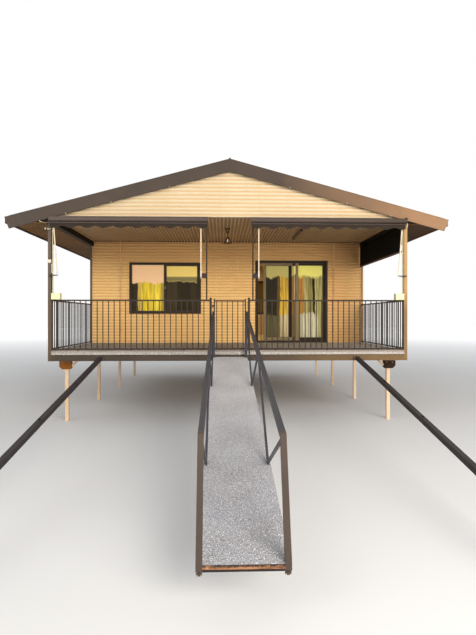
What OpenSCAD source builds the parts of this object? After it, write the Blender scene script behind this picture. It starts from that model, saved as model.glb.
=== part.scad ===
// Stilt house over water: a corrugated cabin with a gabled verandah,
// a hinged gangway and two hinged mooring arms.
// X runs across the front, Y from the gangway's low end to the rear, Z up.
// Lengths are in millimetres. Drawing modules use y = 0 at the verandah's
// front face, and place() moves them to the middle of the whole length.

/* [Floor] */
// Width of the floor over its corner posts
floor_w = 6980; // [6600:10:7600]
// Depth of the open verandah
verandah_d = 3000; // [2400:10:3600]
// Depth of the enclosed house behind it
house_d = 6000; // [5000:10:7500]
// Height of the floor's upper face above the water
floor_z = 1490; // [1300:10:2200]
// Thickness of the floor panels
floor_t = 85; // [60:1:120]
// Height of the steel rim under the floor
rim_h = 115; // [90:1:160]
// Width of the rim's members
rim_t = 60; // [40:1:80]
// Largest spacing of the joists
joist_pitch = 600; // [400:10:700]

/* [Stilts] */
// Width of a square stilt
stilt_w = 70; // [60:1:140]
// Distance of the first row of stilts behind the front face
stilt_setback = 655; // [400:5:1000]
// Distance of the outer stilts' outer faces from the floor's side
stilt_inset = 115; // [50:5:200]
// Rows of stilts from front to rear
stilt_rows = 4; // [3:1:5]
// Stilts in each row
stilt_columns = 3; // [2:1:4]
// Height of the short bearers on the stilts
bearer_h = 225; // [180:5:300]
// Width of the short bearers from front to rear
bearer_w = 90; // [80:5:160]
// Length of the short bearers across the house
bearer_run = 245; // [220:5:400]

/* [Walls] */
// Height of the rooms from floor to ceiling
room_h = 2590; // [2450:10:2900]
// Thickness of the walls' frame
wall_t = 90; // [70:5:140]
// Distance of the wall's frame from the floor's side
wall_inset = 50; // [40:5:90]
// Distance from wave to wave of the corrugated sheets
wave_pitch = 76; // [60:1:110]
// Depth of the waves
wave_d = 16; // [10:1:22]
// Thickness of a sheet behind its waves
sheet_t = 3; // [2:1:6]
// Width of the flashings at the house corners
flashing_w = 50; // [40:1:80]

/* [Windows] */
// Width of a window
window_w = 1780; // [1200:10:2000]
// Height of a window
window_h = 1270; // [900:10:1300]
// Height of a window's sill above the floor
sill_h = 760; // [600:10:900]
// Middle of the front window, left of the house's middle
window_offset = 1600; // [1450:10:1900]
// Width of the window and door frames
frame_w = 45; // [35:1:60]
// Thickness of a sheet of glass
glass_t = 6; // [4:1:8]

/* [Door] */
// Width of the sliding door's frame
door_w = 1824; // [1600:2:2000]
// Height of the sliding door's frame
door_h = 2085; // [1990:5:2200]
// Left side of the door's frame, right of the house's middle
door_left = 727; // [620:1:820]
// Opening left by the sliding leaf as it stands
door_gap = 140; // [60:5:400]
// Thickness of a door leaf
leaf_t = 36; // [30:1:45]
// Width of the uprights of a door leaf
leaf_stile = 62; // [45:1:80]
// Clearance round a sliding leaf
leaf_clear = 6; // [6:1:10]

/* [Roof] */
// Half of the roof's width over its sheets
roof_half = 4270; // [4050:10:4700]
// Pitch of the roof in degrees
roof_pitch = 15; // [11:0.5:18]
// Height of the roof's ridge above the ceiling
ridge_rise = 1100; // [1080:5:1250]
// Overhang of the roof past the gables
roof_overhang = 100; // [60:5:300]
// Thickness of the insulated roof panels
panel_t = 60; // [40:5:90]
// Upright depth of the barge boards
barge_d = 240; // [180:5:300]
// Thickness of the barge boards
barge_t = 30; // [20:1:45]
// Height of the eaves' fascias
fascia_h = 105; // [90:5:150]
// Depth of a ceiling rib
rib_d = 12; // [8:1:16]
// Distance from rib to rib of the ceiling lining
rib_pitch = 76; // [60:1:130]

/* [Verandah] */
// Width of a corner post
post_w = 64; // [56:1:100]
// Height of the side beams on the corner posts
beam_h = 120; // [100:5:180]
// Width of the side beams
beam_w = 24; // [16:1:40]
// Height of the handrails above the floor
rail_h = 985; // [900:5:1100]
// Height of a handrail's section
rail_t = 28; // [20:1:40]
// Width of a picket
picket_w = 16; // [12:1:22]
// Largest spacing of the pickets
picket_pitch = 110; // [95:1:125]
// Clearance between the floor and the lower rails
rail_gap = 14; // [10:1:60]
// Clear width between the gate posts
gate_way = 700; // [640:5:900]
// Width of a gate post
gate_post_w = 44; // [38:1:60]
// Height of the gate posts above the handrail
gate_post_rise = 46; // [30:1:80]
// Thickness of the gate
gate_t = 25; // [20:1:30]
// Clearance between the gate and its latch post
gate_clear = 33; // [20:1:45]
// Distance of the awning guides from the house's middle
guide_x = 450; // [430:5:520]
// Width of an awning guide
guide_w = 28; // [24:1:42]

/* [Awnings] */
// Height of the awning cassettes
cassette_h = 96; // [86:2:120]
// Depth of the awning cassettes, which hang in front of the barge boards
cassette_d = 90; // [80:5:120]
// Drop of the valances below the front bars
valance_drop = 95; // [70:5:160]
// Width of a scallop in the valances
scallop_w = 313; // [200:1:400]
// Depth of a scallop
scallop_d = 40; // [15:1:50]
// Radius of an awning arm
arm_r = 11; // [8:1:16]
// Height of the arms' pivots above the floor
arm_pivot_h = 1440; // [1250:5:1700]
// Drop of the lowered side screen
screen_drop = 560; // [300:10:2200]

/* [Gangway] */
// Width of the gangway over its side frames
gangway_w = 666; // [600:2:680]
// Level length of the gangway
gangway_run = 5950; // [4500:10:7000]
// Fall of the gangway over its length in degrees
gangway_slope = 9; // [4:0.5:11]
// Drop from the floor to the gangway's upper face
gangway_step = 120; // [60:5:160]
// Thickness of the gangway's deck
deck_t = 32; // [25:1:50]
// Height of the gangway's edge beams
edge_h = 70; // [50:5:110]
// Upright height of the gangway's handrails
gangway_rail_h = 885; // [800:5:1050]
// Upright height of the handrails above their end posts' feet
gangway_low_h = 790; // [700:5:1050]
// Distance the handrails' end posts lean back
gangway_rake = 280; // [0:10:400]
// Width of the handrails' square tube
tube_w = 46; // [38:1:60]
// Width of the diagonal tubes
brace_w = 24; // [18:1:40]
// Distance of the first diagonal's foot from the hinge
brace_first = 1850; // [1500:10:2200]
// Distance between the diagonals' feet
brace_bay = 2600; // [2200:10:3000]
// Radius of the hinge pins
pin_r = 10; // [8:1:14]

/* [Mooring arms] */
// Distance of the mooring arms from the house's middle
mooring_x = 2480; // [2000:10:3000]
// Level length of the mooring arms
mooring_run = 6000; // [4500:10:7000]
// Fall of the mooring arms in degrees
mooring_slope = 10.2; // [4:0.1:12]
// Width and height of their box section
mooring_w = 66; // [64:2:140]
// Drop of their hinge ends below the floor panels
mooring_drop = 30; // [0:5:60]
// Wall of the box section
mooring_wall = 6; // [4:1:10]

/* [Hidden] */

half_w = floor_w / 2;
total_d = verandah_d + house_d;
ceiling_z = floor_z + room_h;
rim_z = floor_z - floor_t - rim_h;
bearer_z = rim_z - bearer_h;
house_half = half_w - wall_inset;
ridge_z = ceiling_z + ridge_rise;
sheet_d = wave_d + sheet_t;
wave_steps = 6;

// Roof heights, all measured upright at a distance x from the ridge
function roof_top(x) = ridge_z - abs(x) * tan(roof_pitch);
seat_gap = 0.5;
sheet_rise = sheet_d / cos(roof_pitch);
panel_rise = panel_t / cos(roof_pitch);
function panel_top(x) = roof_top(x) - sheet_rise - seat_gap;
function panel_base(x) = panel_top(x) - panel_rise;
fascia_t = 22;
eave_x = roof_half - fascia_t;
soffit_t = 16;
eave_gap = 10;
soffit_z = min(ceiling_z - beam_h, panel_base(eave_x) - soffit_t - eave_gap);
roof_y0 = -roof_overhang;
roof_y1 = total_d + roof_overhang;
gable_t = 90;

// Gangway and mooring arms, hinged in front of the floor's rim
hinge_y = -52;
gangway_z = floor_z - gangway_step;
gangway_start = hinge_y - 12;
gangway_end = gangway_start - gangway_run;
gangway_hinge_z = gangway_z - deck_t - edge_h / 2;
mooring_z = floor_z - floor_t - mooring_drop - mooring_w / 2;
mooring_end = hinge_y - mooring_run;
eye_r = 30;
pin_play = 0.06;
lug_t = 10;
lug_gap = 6;
y_first = min(gangway_end, mooring_end - eye_r);
y_middle = (y_first + roof_y1) / 2;

// The gate hangs on pins beside its left post
gate_y = post_w / 2;
gate_pin_r = 6;
gate_eye_r = 11;
gate_pin_x = -gate_way / 2 + 20;
gate_left = gate_pin_x + gate_eye_r + gate_t / 4;
gate_right = gate_way / 2 - gate_clear;
gate_eye_h = 40;
gate_cap_h = 16;

// Sites of the windows: x, y and the turn of the wall that holds them
side_window_ys = [verandah_d + house_d * 0.28, verandah_d + house_d * 0.72];
window_sites = concat(
    [[-window_offset, verandah_d, 0]],
    [for (y = side_window_ys) [-house_half, y, -90]],
    [for (y = side_window_ys) [house_half, y, 90]],
    [for (x = [-1, 1]) [x * window_offset, total_d, 180]]
);
door_right = door_left + door_w;
frame_d = 112;
frame_proud = 26;

module place() {
    translate([0, -y_middle, 0]) children();
}

module both_sides() {
    children();
    mirror([1, 0, 0]) children();
}

module box(x0, x1, y0, y1, z0, z1) {
    translate([x0, y0, z0]) cube([x1 - x0, y1 - y0, z1 - z0]);
}

// Extrudes an outline drawn in y and z along x
module along_x(x0, x1) {
    translate([x0, 0, 0]) rotate(a = 120, v = [1, 1, 1]) linear_extrude(x1 - x0) children();
}

// Extrudes an outline drawn in x and z from y0 to y1
module along_y(y0, y1) {
    translate([0, y1, 0]) rotate([90, 0, 0]) linear_extrude(y1 - y0) children();
}

// A bar of width w between two points of an outline
module bar(p, q, w) {
    run = q - p;
    translate(p) rotate(atan2(run[1], run[0]))
        translate([0, -w / 2]) square([norm(run), w]);
}

// Points of a wave that starts at 0 and ends at length
function wave(length, pitch, depth, base) =
    let (steps = ceil(length / pitch * wave_steps))
    [for (i = [0:steps])
        let (a = min(i * pitch / wave_steps, length))
        [a, base + depth * (1 + cos(a / pitch * 360)) / 2]];

// Corrugated sheet: it runs along +x, climbs along +z and faces -y
module wall_sheet(run, height) {
    rotate(a = 180, v = [1, 0, 1]) linear_extrude(run)
        polygon(concat([[0, 0]], wave(height, wave_pitch, wave_d, sheet_t), [[height, 0]]));
}

// Ribbed lining: its ribs run along y and hang below z = 0
module ribbed_lining(width, run) {
    ribs = floor(width / rib_pitch);
    rotate([-90, 0, 0]) linear_extrude(run) polygon(concat(
        [[0, 0], [0, sheet_t]],
        [for (i = [0:ribs - 1]) let (a = (width - (ribs - 1) * rib_pitch) / 2 + i * rib_pitch)
            each [[a - rib_pitch * 0.22, sheet_t], [a - rib_pitch * 0.12, sheet_t + rib_d],
                [a + rib_pitch * 0.12, sheet_t + rib_d], [a + rib_pitch * 0.22, sheet_t]]],
        [[width, sheet_t], [width, 0]]
    ));
}

// Substructure

// Stilts, and knee braces from the outer bearers up to the cross members
module stilts() {
    color("bisque") place() for (row = [0:stilt_rows - 1]) {
        for (column = [0:stilt_columns - 1]) {
            x = -half_w + stilt_inset + column * (floor_w - 2 * stilt_inset - stilt_w) / (stilt_columns - 1);
            translate([x, row_y(row), 0]) cube([stilt_w, stilt_w, bearer_z]);
        }
        y = row_y(row) + stilt_w / 2;
        both_sides() along_y(y - knee_t / 2, y + knee_t / 2) knee_brace();
    }
}

function row_y(row) = stilt_setback + row * (total_d - 2 * stilt_setback - stilt_w) / (stilt_rows - 1);

// Middle of a short bearer, for outer ones flush with the floor's side
function bearer_x(column) = -half_w + bearer_run / 2 + column * (floor_w - bearer_run) / (stilt_columns - 1);

module bearer_outline() {
    cut = bearer_h * 0.25;
    half = bearer_run / 2;
    polygon([[-half, rim_z], [half, rim_z], [half, bearer_z + cut / 2], [half - cut / 2, bearer_z],
        [cut - half, bearer_z], [-half, bearer_z + cut]]);
}

knee_t = 44;
knee_lean = 1.15;

// Knee brace from the left outer bearer's side up to the cross member, drawn in x and z
module knee_brace() {
    x = bearer_run - half_w;
    foot = bearer_z + bearer_h * 0.2;
    thick = knee_t * sqrt(1 + knee_lean * knee_lean) / knee_lean;
    reach = (rim_z - foot) * knee_lean;
    polygon([[x, foot], [x + reach, rim_z], [x + reach - thick * knee_lean, rim_z], [x, foot + thick]]);
}

// Short bearers on the stilts
module bearers() {
    color("saddlebrown") place()
    for (row = [0:stilt_rows - 1]) {
        y = row_y(row) + (stilt_w - bearer_w) / 2;
        for (column = [1:1:stilt_columns - 2])
            translate([bearer_x(column), 0, 0]) along_y(y, y + bearer_w) bearer_outline();
        both_sides() translate([bearer_x(0), 0, 0]) along_y(y, y + bearer_w) bearer_outline();
    }
}

module post_corners() {
    both_sides() box(half_w - post_w, half_w, 0, post_w, rim_z, floor_z);
}

joists = ceil((floor_w - rim_t) / joist_pitch);
joist_step = (floor_w - rim_t) / joists;

module floor_frame() {
    color("dimgray") place() difference() {
        union() {
            for (y = [0, total_d - rim_t]) box(-half_w, half_w, y, y + rim_t, rim_z, rim_z + rim_h);
            for (i = [0:joists])
                translate([-half_w + i * joist_step, 0, rim_z]) cube([rim_t, total_d, rim_h]);
            // A cross member over each row of stilts
            for (row = [0:stilt_rows - 1])
                translate([-half_w, row_y(row) + (stilt_w - rim_t) / 2, rim_z]) cube([floor_w, rim_t, rim_h]);
        }
        post_corners();
    }
}

module verandah_floor() {
    color("silver") place() difference() {
        box(-half_w, half_w, 0, verandah_d, floor_z - floor_t, floor_z);
        post_corners();
    }
}

module house_floor() {
    color("tan") place()
        box(-half_w, half_w, verandah_d, total_d, floor_z - floor_t, floor_z);
}

// Walls

corner_t = sheet_d + 3;

module at_windows() {
    for (site = window_sites)
        translate([site[0], site[1], floor_z]) rotate(site[2]) children();
}

module window_holes() {
    at_windows() translate([-window_w / 2, -2 * sheet_d, sill_h])
        cube([window_w, wall_t + 3 * sheet_d, window_h]);
}

module front_wall_part(x0, x1, z0) {
    color("wheat") place() difference() {
        box(x0, x1, verandah_d, verandah_d + wall_t, floor_z + z0, ceiling_z);
        window_holes();
    }
}

module front_wall_left() {
    front_wall_part(-house_half, door_left, 0);
}

module front_wall_right() {
    front_wall_part(door_right, house_half, 0);
}

module front_wall_head() {
    front_wall_part(door_left, door_right, door_h);
}

module side_walls() {
    inner = house_half - wall_t;
    color("wheat") place() difference() {
        both_sides() along_y(verandah_d + wall_t, total_d - wall_t) polygon([[inner, floor_z],
            [house_half, floor_z], [house_half, panel_base(house_half)], [inner, panel_base(inner)]]);
        window_holes();
    }
}

module rear_wall() {
    color("wheat") place() difference() {
        box(-house_half, house_half, total_d - wall_t, total_d, floor_z, ceiling_z);
        window_holes();
    }
}

module front_cladding() {
    color("wheat") place() difference() {
        translate([-house_half, verandah_d, floor_z]) wall_sheet(2 * house_half, room_h - rib_d - sheet_t);
        window_holes();
        box(door_left, door_right, verandah_d - 2 * sheet_d, verandah_d + 1, floor_z - 1, floor_z + door_h);
    }
}

module side_claddings() {
    run = house_d - 2 * flashing_w;
    color("wheat") place() difference() {
        both_sides() translate([house_half, verandah_d + flashing_w, floor_z])
            rotate(90) wall_sheet(run, soffit_z - floor_z);
        window_holes();
    }
}

module rear_cladding() {
    color("wheat") place() difference() {
        translate([house_half - flashing_w, total_d, floor_z]) rotate(180)
            wall_sheet(2 * (house_half - flashing_w), room_h);
        window_holes();
    }
}

// Angle-shaped trims that close the sheets at the house corners
module corner_flashings() {
    outer = house_half + corner_t;
    color("linen") place() both_sides() {
        box(house_half, outer, verandah_d - corner_t, verandah_d, floor_z, ceiling_z);
        box(house_half, outer, verandah_d - 1, verandah_d + flashing_w, floor_z, soffit_z);
        difference() {
            box(house_half - flashing_w, outer, total_d - flashing_w, total_d + corner_t, floor_z, soffit_z);
            box(house_half - flashing_w - 1, house_half, total_d - flashing_w - 1, total_d,
                floor_z - 1, soffit_z + 1);
        }
    }
}

// Gable frame with the eave boxes' ends, drawn in x and z
module gable_outline() {
    half = [[half_w, ceiling_z], [half_w, soffit_z + soffit_t],
        [eave_x, soffit_z + soffit_t], [eave_x, panel_base(eave_x)]];
    mirrored = [for (i = [len(half) - 1:-1:0]) [-half[i][0], half[i][1]]];
    polygon(concat(half, [[0, panel_base(0)]], mirrored));
}

module gable_sheet_outline() {
    polygon([[-half_w, ceiling_z], [half_w, ceiling_z], [half_w, panel_base(half_w)],
        [0, panel_base(0)], [-half_w, panel_base(half_w)]]);
}

module gables() {
    spare = 40;
    rise = panel_base(0) - ceiling_z + spare;
    run = 2 * (half_w + spare);
    color("wheat") place() {
        along_y(0, gable_t) gable_outline();
        along_y(total_d - gable_t, total_d) gable_outline();
        intersection() {
            translate([-run / 2, 0, ceiling_z]) wall_sheet(run, rise);
            along_y(-2 * sheet_d, 0) gable_sheet_outline();
        }
        intersection() {
            translate([run / 2, total_d, ceiling_z]) rotate(180) wall_sheet(run, rise);
            along_y(total_d, total_d + 2 * sheet_d) gable_sheet_outline();
        }
    }
}

// Ceilings and roof

module verandah_ceiling() {
    inner = half_w - post_w;
    y0 = gate_y + rail_t / 2;
    color("rosybrown") place() translate([-inner, y0, ceiling_z])
        ribbed_lining(2 * inner, verandah_d - y0);
}

module house_ceiling() {
    color("ivory") place() box(wall_t - house_half, house_half - wall_t,
        verandah_d + wall_t, total_d - wall_t, ceiling_z - 20, ceiling_z);
}

module soffits() {
    color("rosybrown") place() both_sides() {
        translate([half_w, roof_y0 + barge_t, soffit_z + soffit_t])
            ribbed_lining(eave_x - half_w, roof_y1 - roof_y0 - 2 * barge_t);
        box(house_half, half_w, verandah_d, total_d, soffit_z, soffit_z + soffit_t);
    }
}

// One roof slope: x runs down it from the ridge, z is its outward normal
module slope_frame() {
    translate([0, 0, ridge_z]) rotate([0, roof_pitch, 0]) children();
}

module roof_panels() {
    color("gray") place() both_sides() along_y(roof_y0 + barge_t, roof_y1 - barge_t)
        polygon([[3, panel_base(3)], [3, panel_top(3)], [eave_x, panel_top(eave_x)],
            [eave_x, panel_base(eave_x)]]);
}

module roof_sheets() {
    length = roof_y1 - roof_y0 - 2 * (barge_t + seat_gap);
    trim = (sheet_d + 12) * tan(roof_pitch);
    color("dimgray") place() both_sides() slope_frame()
        translate([trim, roof_y0 + barge_t + seat_gap, -sheet_d])
            rotate(a = 120, v = [1, 1, 1]) linear_extrude(roof_half / cos(roof_pitch) - trim)
                polygon(concat([[0, 0]], wave(length, wave_pitch, wave_d, sheet_t), [[length, 0]]));
}

module ridge_cap() {
    wing = 170;
    cap_t = 4;
    roll_r = 22;
    roll = [for (a = [0:15:180]) [roll_r * cos(a), roof_top(0) + roll_r * sin(a)]];
    color("dimgray") place() along_y(roof_y0, roof_y1) polygon(concat(
        [[-wing, roof_top(wing)], [0, roof_top(0)], [wing, roof_top(wing)],
            [wing, roof_top(wing) + cap_t], [roll_r, roof_top(roll_r) + cap_t]],
        roll,
        [[-roll_r, roof_top(roll_r) + cap_t], [-wing, roof_top(wing) + cap_t]]
    ));
}

// Barge boards: a chevron with square-cut tails
module barge_outline() {
    tail = barge_d * sin(roof_pitch) * cos(roof_pitch) * 1.4;
    low = roof_half - tail;
    polygon([[0, roof_top(0)], [roof_half, roof_top(roof_half)], [low, roof_top(low) - barge_d],
        [0, roof_top(0) - barge_d], [-low, roof_top(low) - barge_d], [-roof_half, roof_top(roof_half)]]);
}

module barge_boards() {
    color("dimgray") place() for (y = [roof_y0, roof_y1 - barge_t])
        along_y(y, y + barge_t) barge_outline();
}

// Fascias with a small gutter lip along the eaves
module eave_fascias() {
    top = panel_top(eave_x);
    color("dimgray") place() both_sides()
        box(eave_x, eave_x + fascia_t, roof_y0 + barge_t, roof_y1 - barge_t, top - fascia_h, top - 6);
}

// Verandah

wall_guide_w = 42;
wall_guide_d = 30;
frame_end = verandah_d - corner_t;

// Corner posts, side beams with a ledge beside the lining, and guides on the house corners
module verandah_frames() {
    color("dimgray") place() both_sides() {
        box(half_w - post_w, half_w, 0, post_w, rim_z, ceiling_z);
        box(half_w - beam_w, half_w, 0, frame_end, ceiling_z - beam_h, ceiling_z);
        box(half_w - post_w, half_w, 0, frame_end, ceiling_z - sheet_t - rib_d, ceiling_z);
        box(half_w - wall_guide_w, half_w, frame_end - wall_guide_d, frame_end, floor_z, ceiling_z - beam_h + 1);
    }
}

// The awning guides stand on the front handrails
guide_y = gate_y + rail_t / 2 - 2 - guide_w;

module awning_guides() {
    color("dimgray") place() both_sides()
        box(guide_x - guide_w / 2, guide_x + guide_w / 2, guide_y, guide_y + guide_w,
            floor_z + rail_h, ceiling_z);
}

module gate_posts() {
    inner = gate_way / 2;
    color("dimgray") place() {
        both_sides() {
            box(inner, inner + gate_post_w, gate_y - gate_post_w / 2, gate_y + gate_post_w / 2,
                floor_z, floor_z + rail_h + gate_post_rise - gate_cap_h);
            translate([inner + gate_post_w / 2, gate_y, floor_z + rail_h + gate_post_rise - gate_post_w / 2])
                sphere(r = gate_post_w / 2, $fn = 48);
        }
        for (z = gate_eye_zs) {
            box(-inner - 1, gate_pin_x, gate_y - 5, gate_y + 5, z - 10, z - 2);
            translate([gate_pin_x, gate_y, z - 10]) cylinder(r = gate_pin_r, h = gate_eye_h + 12, $fn = 32);
            translate([gate_pin_x, gate_y, z - 10]) cylinder(r = gate_eye_r - 2, h = 8, $fn = 32);
        }
    }
}

// A balustrade from x = 0 to length: rails, pickets and no posts
module balustrade(length) {
    bays = ceil(length / picket_pitch);
    step = length / bays;
    low = rail_gap;
    rails = [low, rail_h - rail_t];
    for (z = rails) translate([0, -rail_t / 2, z]) cube([length, rail_t, rail_t]);
    for (i = [1:bays - 1])
        translate([i * step - picket_w / 2, -picket_w / 2, low]) cube([picket_w, picket_w, rail_h - low - 4]);
}

front_rail_run = half_w - post_w - gate_way / 2 - gate_post_w;

module front_balustrade_left() {
    color("dimgray") place() translate([post_w - half_w, gate_y, floor_z]) balustrade(front_rail_run);
}

module front_balustrade_right() {
    color("dimgray") place() translate([gate_way / 2 + gate_post_w, gate_y, floor_z])
        balustrade(front_rail_run);
}

module side_balustrade(side) {
    color("dimgray") place() translate([side * (half_w - post_w / 2), post_w, floor_z]) rotate(90)
        balustrade(frame_end - wall_guide_d - post_w);
}

module side_balustrade_left() {
    side_balustrade(-1);
}

module side_balustrade_right() {
    side_balustrade(1);
}

// Gate, closed, between its posts
gate_eye_zs = [for (part = [0.19, 0.86]) floor_z + part * rail_h];

gate_margin = 46;

module gate() {
    width = gate_right - gate_left;
    pickets_run = width - gate_t - 2 * gate_margin;
    bays = round(pickets_run / picket_pitch);
    low = floor_z + rail_gap + 4;
    high = floor_z + rail_h - 8;
    stile_h = high + 30 - low;
    color("dimgray") place() difference() {
        union() {
            translate([gate_left, gate_y - gate_t / 2, low]) {
                for (x = [0, width - gate_t]) translate([x, 0, 0]) cube([gate_t, gate_t, stile_h]);
                for (z = [0, high - low - gate_t]) translate([0, 0, z]) cube([width, gate_t, gate_t]);
                for (i = [0:bays]) {
                    x = gate_margin + i * pickets_run / bays + (gate_t - picket_w) / 2;
                    translate([x, (gate_t - picket_w) / 2, 4]) cube([picket_w, picket_w, high - low - 8]);
                }
            }
            for (z = gate_eye_zs) translate([gate_pin_x, gate_y, z]) {
                cylinder(r = gate_eye_r, h = gate_eye_h, $fn = 48);
                translate([0, -4, 4]) cube([gate_left - gate_pin_x + 2, 8, gate_eye_h - 8]);
            }
        }
        for (z = gate_eye_zs) translate([gate_pin_x, gate_y, z - 1])
            cylinder(r = gate_pin_r + pin_play, h = gate_eye_h + 2, $fn = 48);
    }
}

// Windows and door

module ring(w, h, t, depth) {
    difference() {
        cube([w, depth, h]);
        translate([t, -1, t]) cube([w - 2 * t, depth + 2, h - 2 * t]);
    }
}

// Frame of a two-pane window with a fixed left pane and a slim sash on the right
sash_t = 28;
meeting_w = 62;
glass_y = -8;

module window_frames() {
    color("dimgray") place() at_windows() translate([-window_w / 2, -sheet_d - frame_proud, sill_h]) {
        ring(window_w, window_h, frame_w, frame_proud + sheet_d + 60);
        translate([(window_w - meeting_w) / 2, 20, 1]) cube([meeting_w, 50, window_h - 2]);
        translate([window_w / 2, 20, frame_w - 1])
            ring(window_w / 2 - frame_w + 1, window_h - 2 * frame_w + 2, sash_t, 40);
    }
}

module pane(w, h) {
    cube([w, glass_t, h]);
}

// Sheets of glass in all windows and in the door's fixed leaf
module glazing() {
    fixed_w = (window_w - meeting_w) / 2 - frame_w;
    sash_base = frame_w + sash_t - 1;
    color("lightyellow") place() {
        at_windows() {
            translate([frame_w - window_w / 2, glass_y, sill_h + frame_w])
                pane(fixed_w, window_h - 2 * frame_w);
            translate([meeting_w / 2, glass_y, sill_h + sash_base])
                pane(fixed_w - sash_t + 1, window_h - 2 * sash_base);
        }
        translate([fixed_x + leaf_stile, fixed_y + (leaf_t - glass_t) / 2, floor_z + frame_w + bottom_rail])
            pane(leaf_w - 2 * leaf_stile, door_h - 2 * frame_w - bottom_rail - leaf_stile);
    }
}

bottom_rail = 84;
leaf_w = (door_w - 2 * frame_w + leaf_stile) / 2;
leaf_z = floor_z + frame_w + leaf_clear;
leaf_h = door_h - 2 * frame_w - 2 * leaf_clear;
door_y = verandah_d - sheet_d - frame_proud;
slide_y = door_y + 12;
fixed_y = slide_y + leaf_t + leaf_clear + 2;
slide_x = door_left + frame_w + door_gap;
fixed_x = door_right - frame_w - leaf_w;

module door_frame() {
    color("dimgray") place() translate([door_left, door_y, floor_z])
        ring(door_w, door_h, frame_w, frame_d);
}

module door_leaf(x, y, z, h) {
    translate([x, y, z]) difference() {
        cube([leaf_w, leaf_t, h]);
        translate([leaf_stile, -1, bottom_rail])
            cube([leaf_w - 2 * leaf_stile, leaf_t + 2, h - bottom_rail - leaf_stile]);
    }
}

module fixed_door_leaf() {
    color("dimgray") place() {
        door_leaf(fixed_x, fixed_y, floor_z + frame_w, door_h - 2 * frame_w);
    }
}

module sliding_door_leaf() {
    color("dimgray") place() door_leaf(slide_x, slide_y, leaf_z, leaf_h);
}

module sliding_door_glass() {
    color("lightyellow") place()
        translate([slide_x + leaf_stile, slide_y + (leaf_t - glass_t) / 2, leaf_z + bottom_rail])
            pane(leaf_w - 2 * leaf_stile, leaf_h - bottom_rail - leaf_stile);
}

// Awnings

cassette_in = guide_x - 22;
cassette_out = half_w - post_w - 20;
cassette_z = ceiling_z - 40 - cassette_h;
cassette_y1 = roof_y0 - 4;
cassette_y0 = cassette_y1 - cassette_d;
front_bar_h = 26;
front_bar_z = cassette_z - front_bar_h;
front_bar_y = (cassette_y0 + cassette_y1) / 2;

module awning_cassettes() {
    y0 = cassette_y0;
    y1 = cassette_y1;
    curve = cassette_h * 0.3;
    top = cassette_z + cassette_h;
    // Brackets pass under the barge board, the last one where it is just above them
    last = min(cassette_out - 100, (roof_top(0) - barge_d - top + 4) / tan(roof_pitch) - 72);
    color("slategray") place() both_sides() union() {
        along_x(cassette_in, cassette_out) {
            polygon([[y1, cassette_z], [y0 + curve, cassette_z], [y0, cassette_z + curve], [y0, top - curve],
                [y0 + curve, top], [y1, top]]);
            translate([front_bar_y - 14, front_bar_z]) square([28, front_bar_h]);
        }
        for (x = [cassette_in + 50, (cassette_in + last) / 2, last]) {
            box(x, x + 60, y1 - 30, gable_t / 2 - 5, top - 18, top - 4);
            box(x, x + 60, 10, gable_t / 2 - 5, top - 18, ceiling_z);
        }
    }
}

// Wavy lower edge, drawn in x and z from x = 0, its last crest short of the end
end_crest = 225;
function scallops(length, top) =
    let (steps = ceil(length / scallop_w * 8))
    [for (i = [0:steps])
        let (x = length * i / steps, turn = (length - end_crest - x) / scallop_w * 360)
        [x, top - scallop_d * (1 - cos(turn)) / 2]];

module awning_valances() {
    length = cassette_out - cassette_in - 20;
    top = front_bar_z;
    edge = top - valance_drop + scallop_d;
    color("dimgray") place() both_sides() translate([cassette_in + 10, 0, 0])
        along_y(front_bar_y - 12, front_bar_y - 8)
            polygon(concat([[0, top]], scallops(length, edge), [[length, top]]));
}

// A straight arm from its pivot up to the front bar, leaning from x_low to x_high
arm_y = front_bar_y + 18;
pivot_z = floor_z + arm_pivot_h;
inner_half = 44;
outer_half = 10;

module awning_arm(x_low, x_high, half) {
    rise = front_bar_z - pivot_z + half;
    translate([x_low, arm_y, pivot_z - half]) rotate([0, atan2(x_high - x_low, rise), 0])
        cylinder(r = arm_r, h = norm([rise, x_high - x_low]) - 1, $fn = 24);
}

// Bracket block between x0 and x1 that reaches from the arm back to y1
module arm_bracket(x0, x1, y1, half) {
    box(x0, x1, arm_y - 4, y1, pivot_z - half, pivot_z + half);
}

// The inner brackets stand on the awning guides, the outer ones on the posts' inner sides
module awning_arms() {
    inner_x = guide_x + 104;
    outer_x = cassette_out - 144;
    side = half_w - post_w;
    color("white") place() both_sides() {
        awning_arm(inner_x, inner_x, inner_half);
        arm_bracket(guide_x - guide_w / 2, inner_x, arm_y + 24, inner_half);
        arm_bracket(guide_x - guide_w / 2, guide_x + guide_w / 2, guide_y, inner_half);
        awning_arm(outer_x, outer_x + 78, outer_half);
        arm_bracket(outer_x, side, arm_y + 12, outer_half);
        arm_bracket(side - 14, side, post_w / 2, outer_half);
    }
}

side_roll_z = ceiling_z - sheet_t - rib_d - 96;
side_roll_x = half_w - post_w - 30;
side_bar_w = 24;
side_bar_h = 34;
screen_low = ceiling_z - screen_drop - 66;

// Roll boxes under the side beams, each with its screen's bottom bar
module side_awnings() {
    y0 = gate_y + 60;
    y1 = verandah_d - 50;
    color("dimgray") place() {
        both_sides() box(side_roll_x, half_w - beam_w, y0, y1, side_roll_z, side_roll_z + 96);
        box(side_roll_x, side_roll_x + side_bar_w, y0 + 20, y1 - 10, screen_low - side_bar_h, screen_low);
        box(-side_roll_x - side_bar_w, -side_roll_x, y0 + 20, y1 - 10, side_roll_z - side_bar_h, side_roll_z);
    }
}

module side_screen() {
    y0 = gate_y + 90;
    y1 = verandah_d - 62;
    color("black") place() box(side_roll_x + 4, side_roll_x + 8, y0, y1, screen_low, side_roll_z);
}

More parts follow.
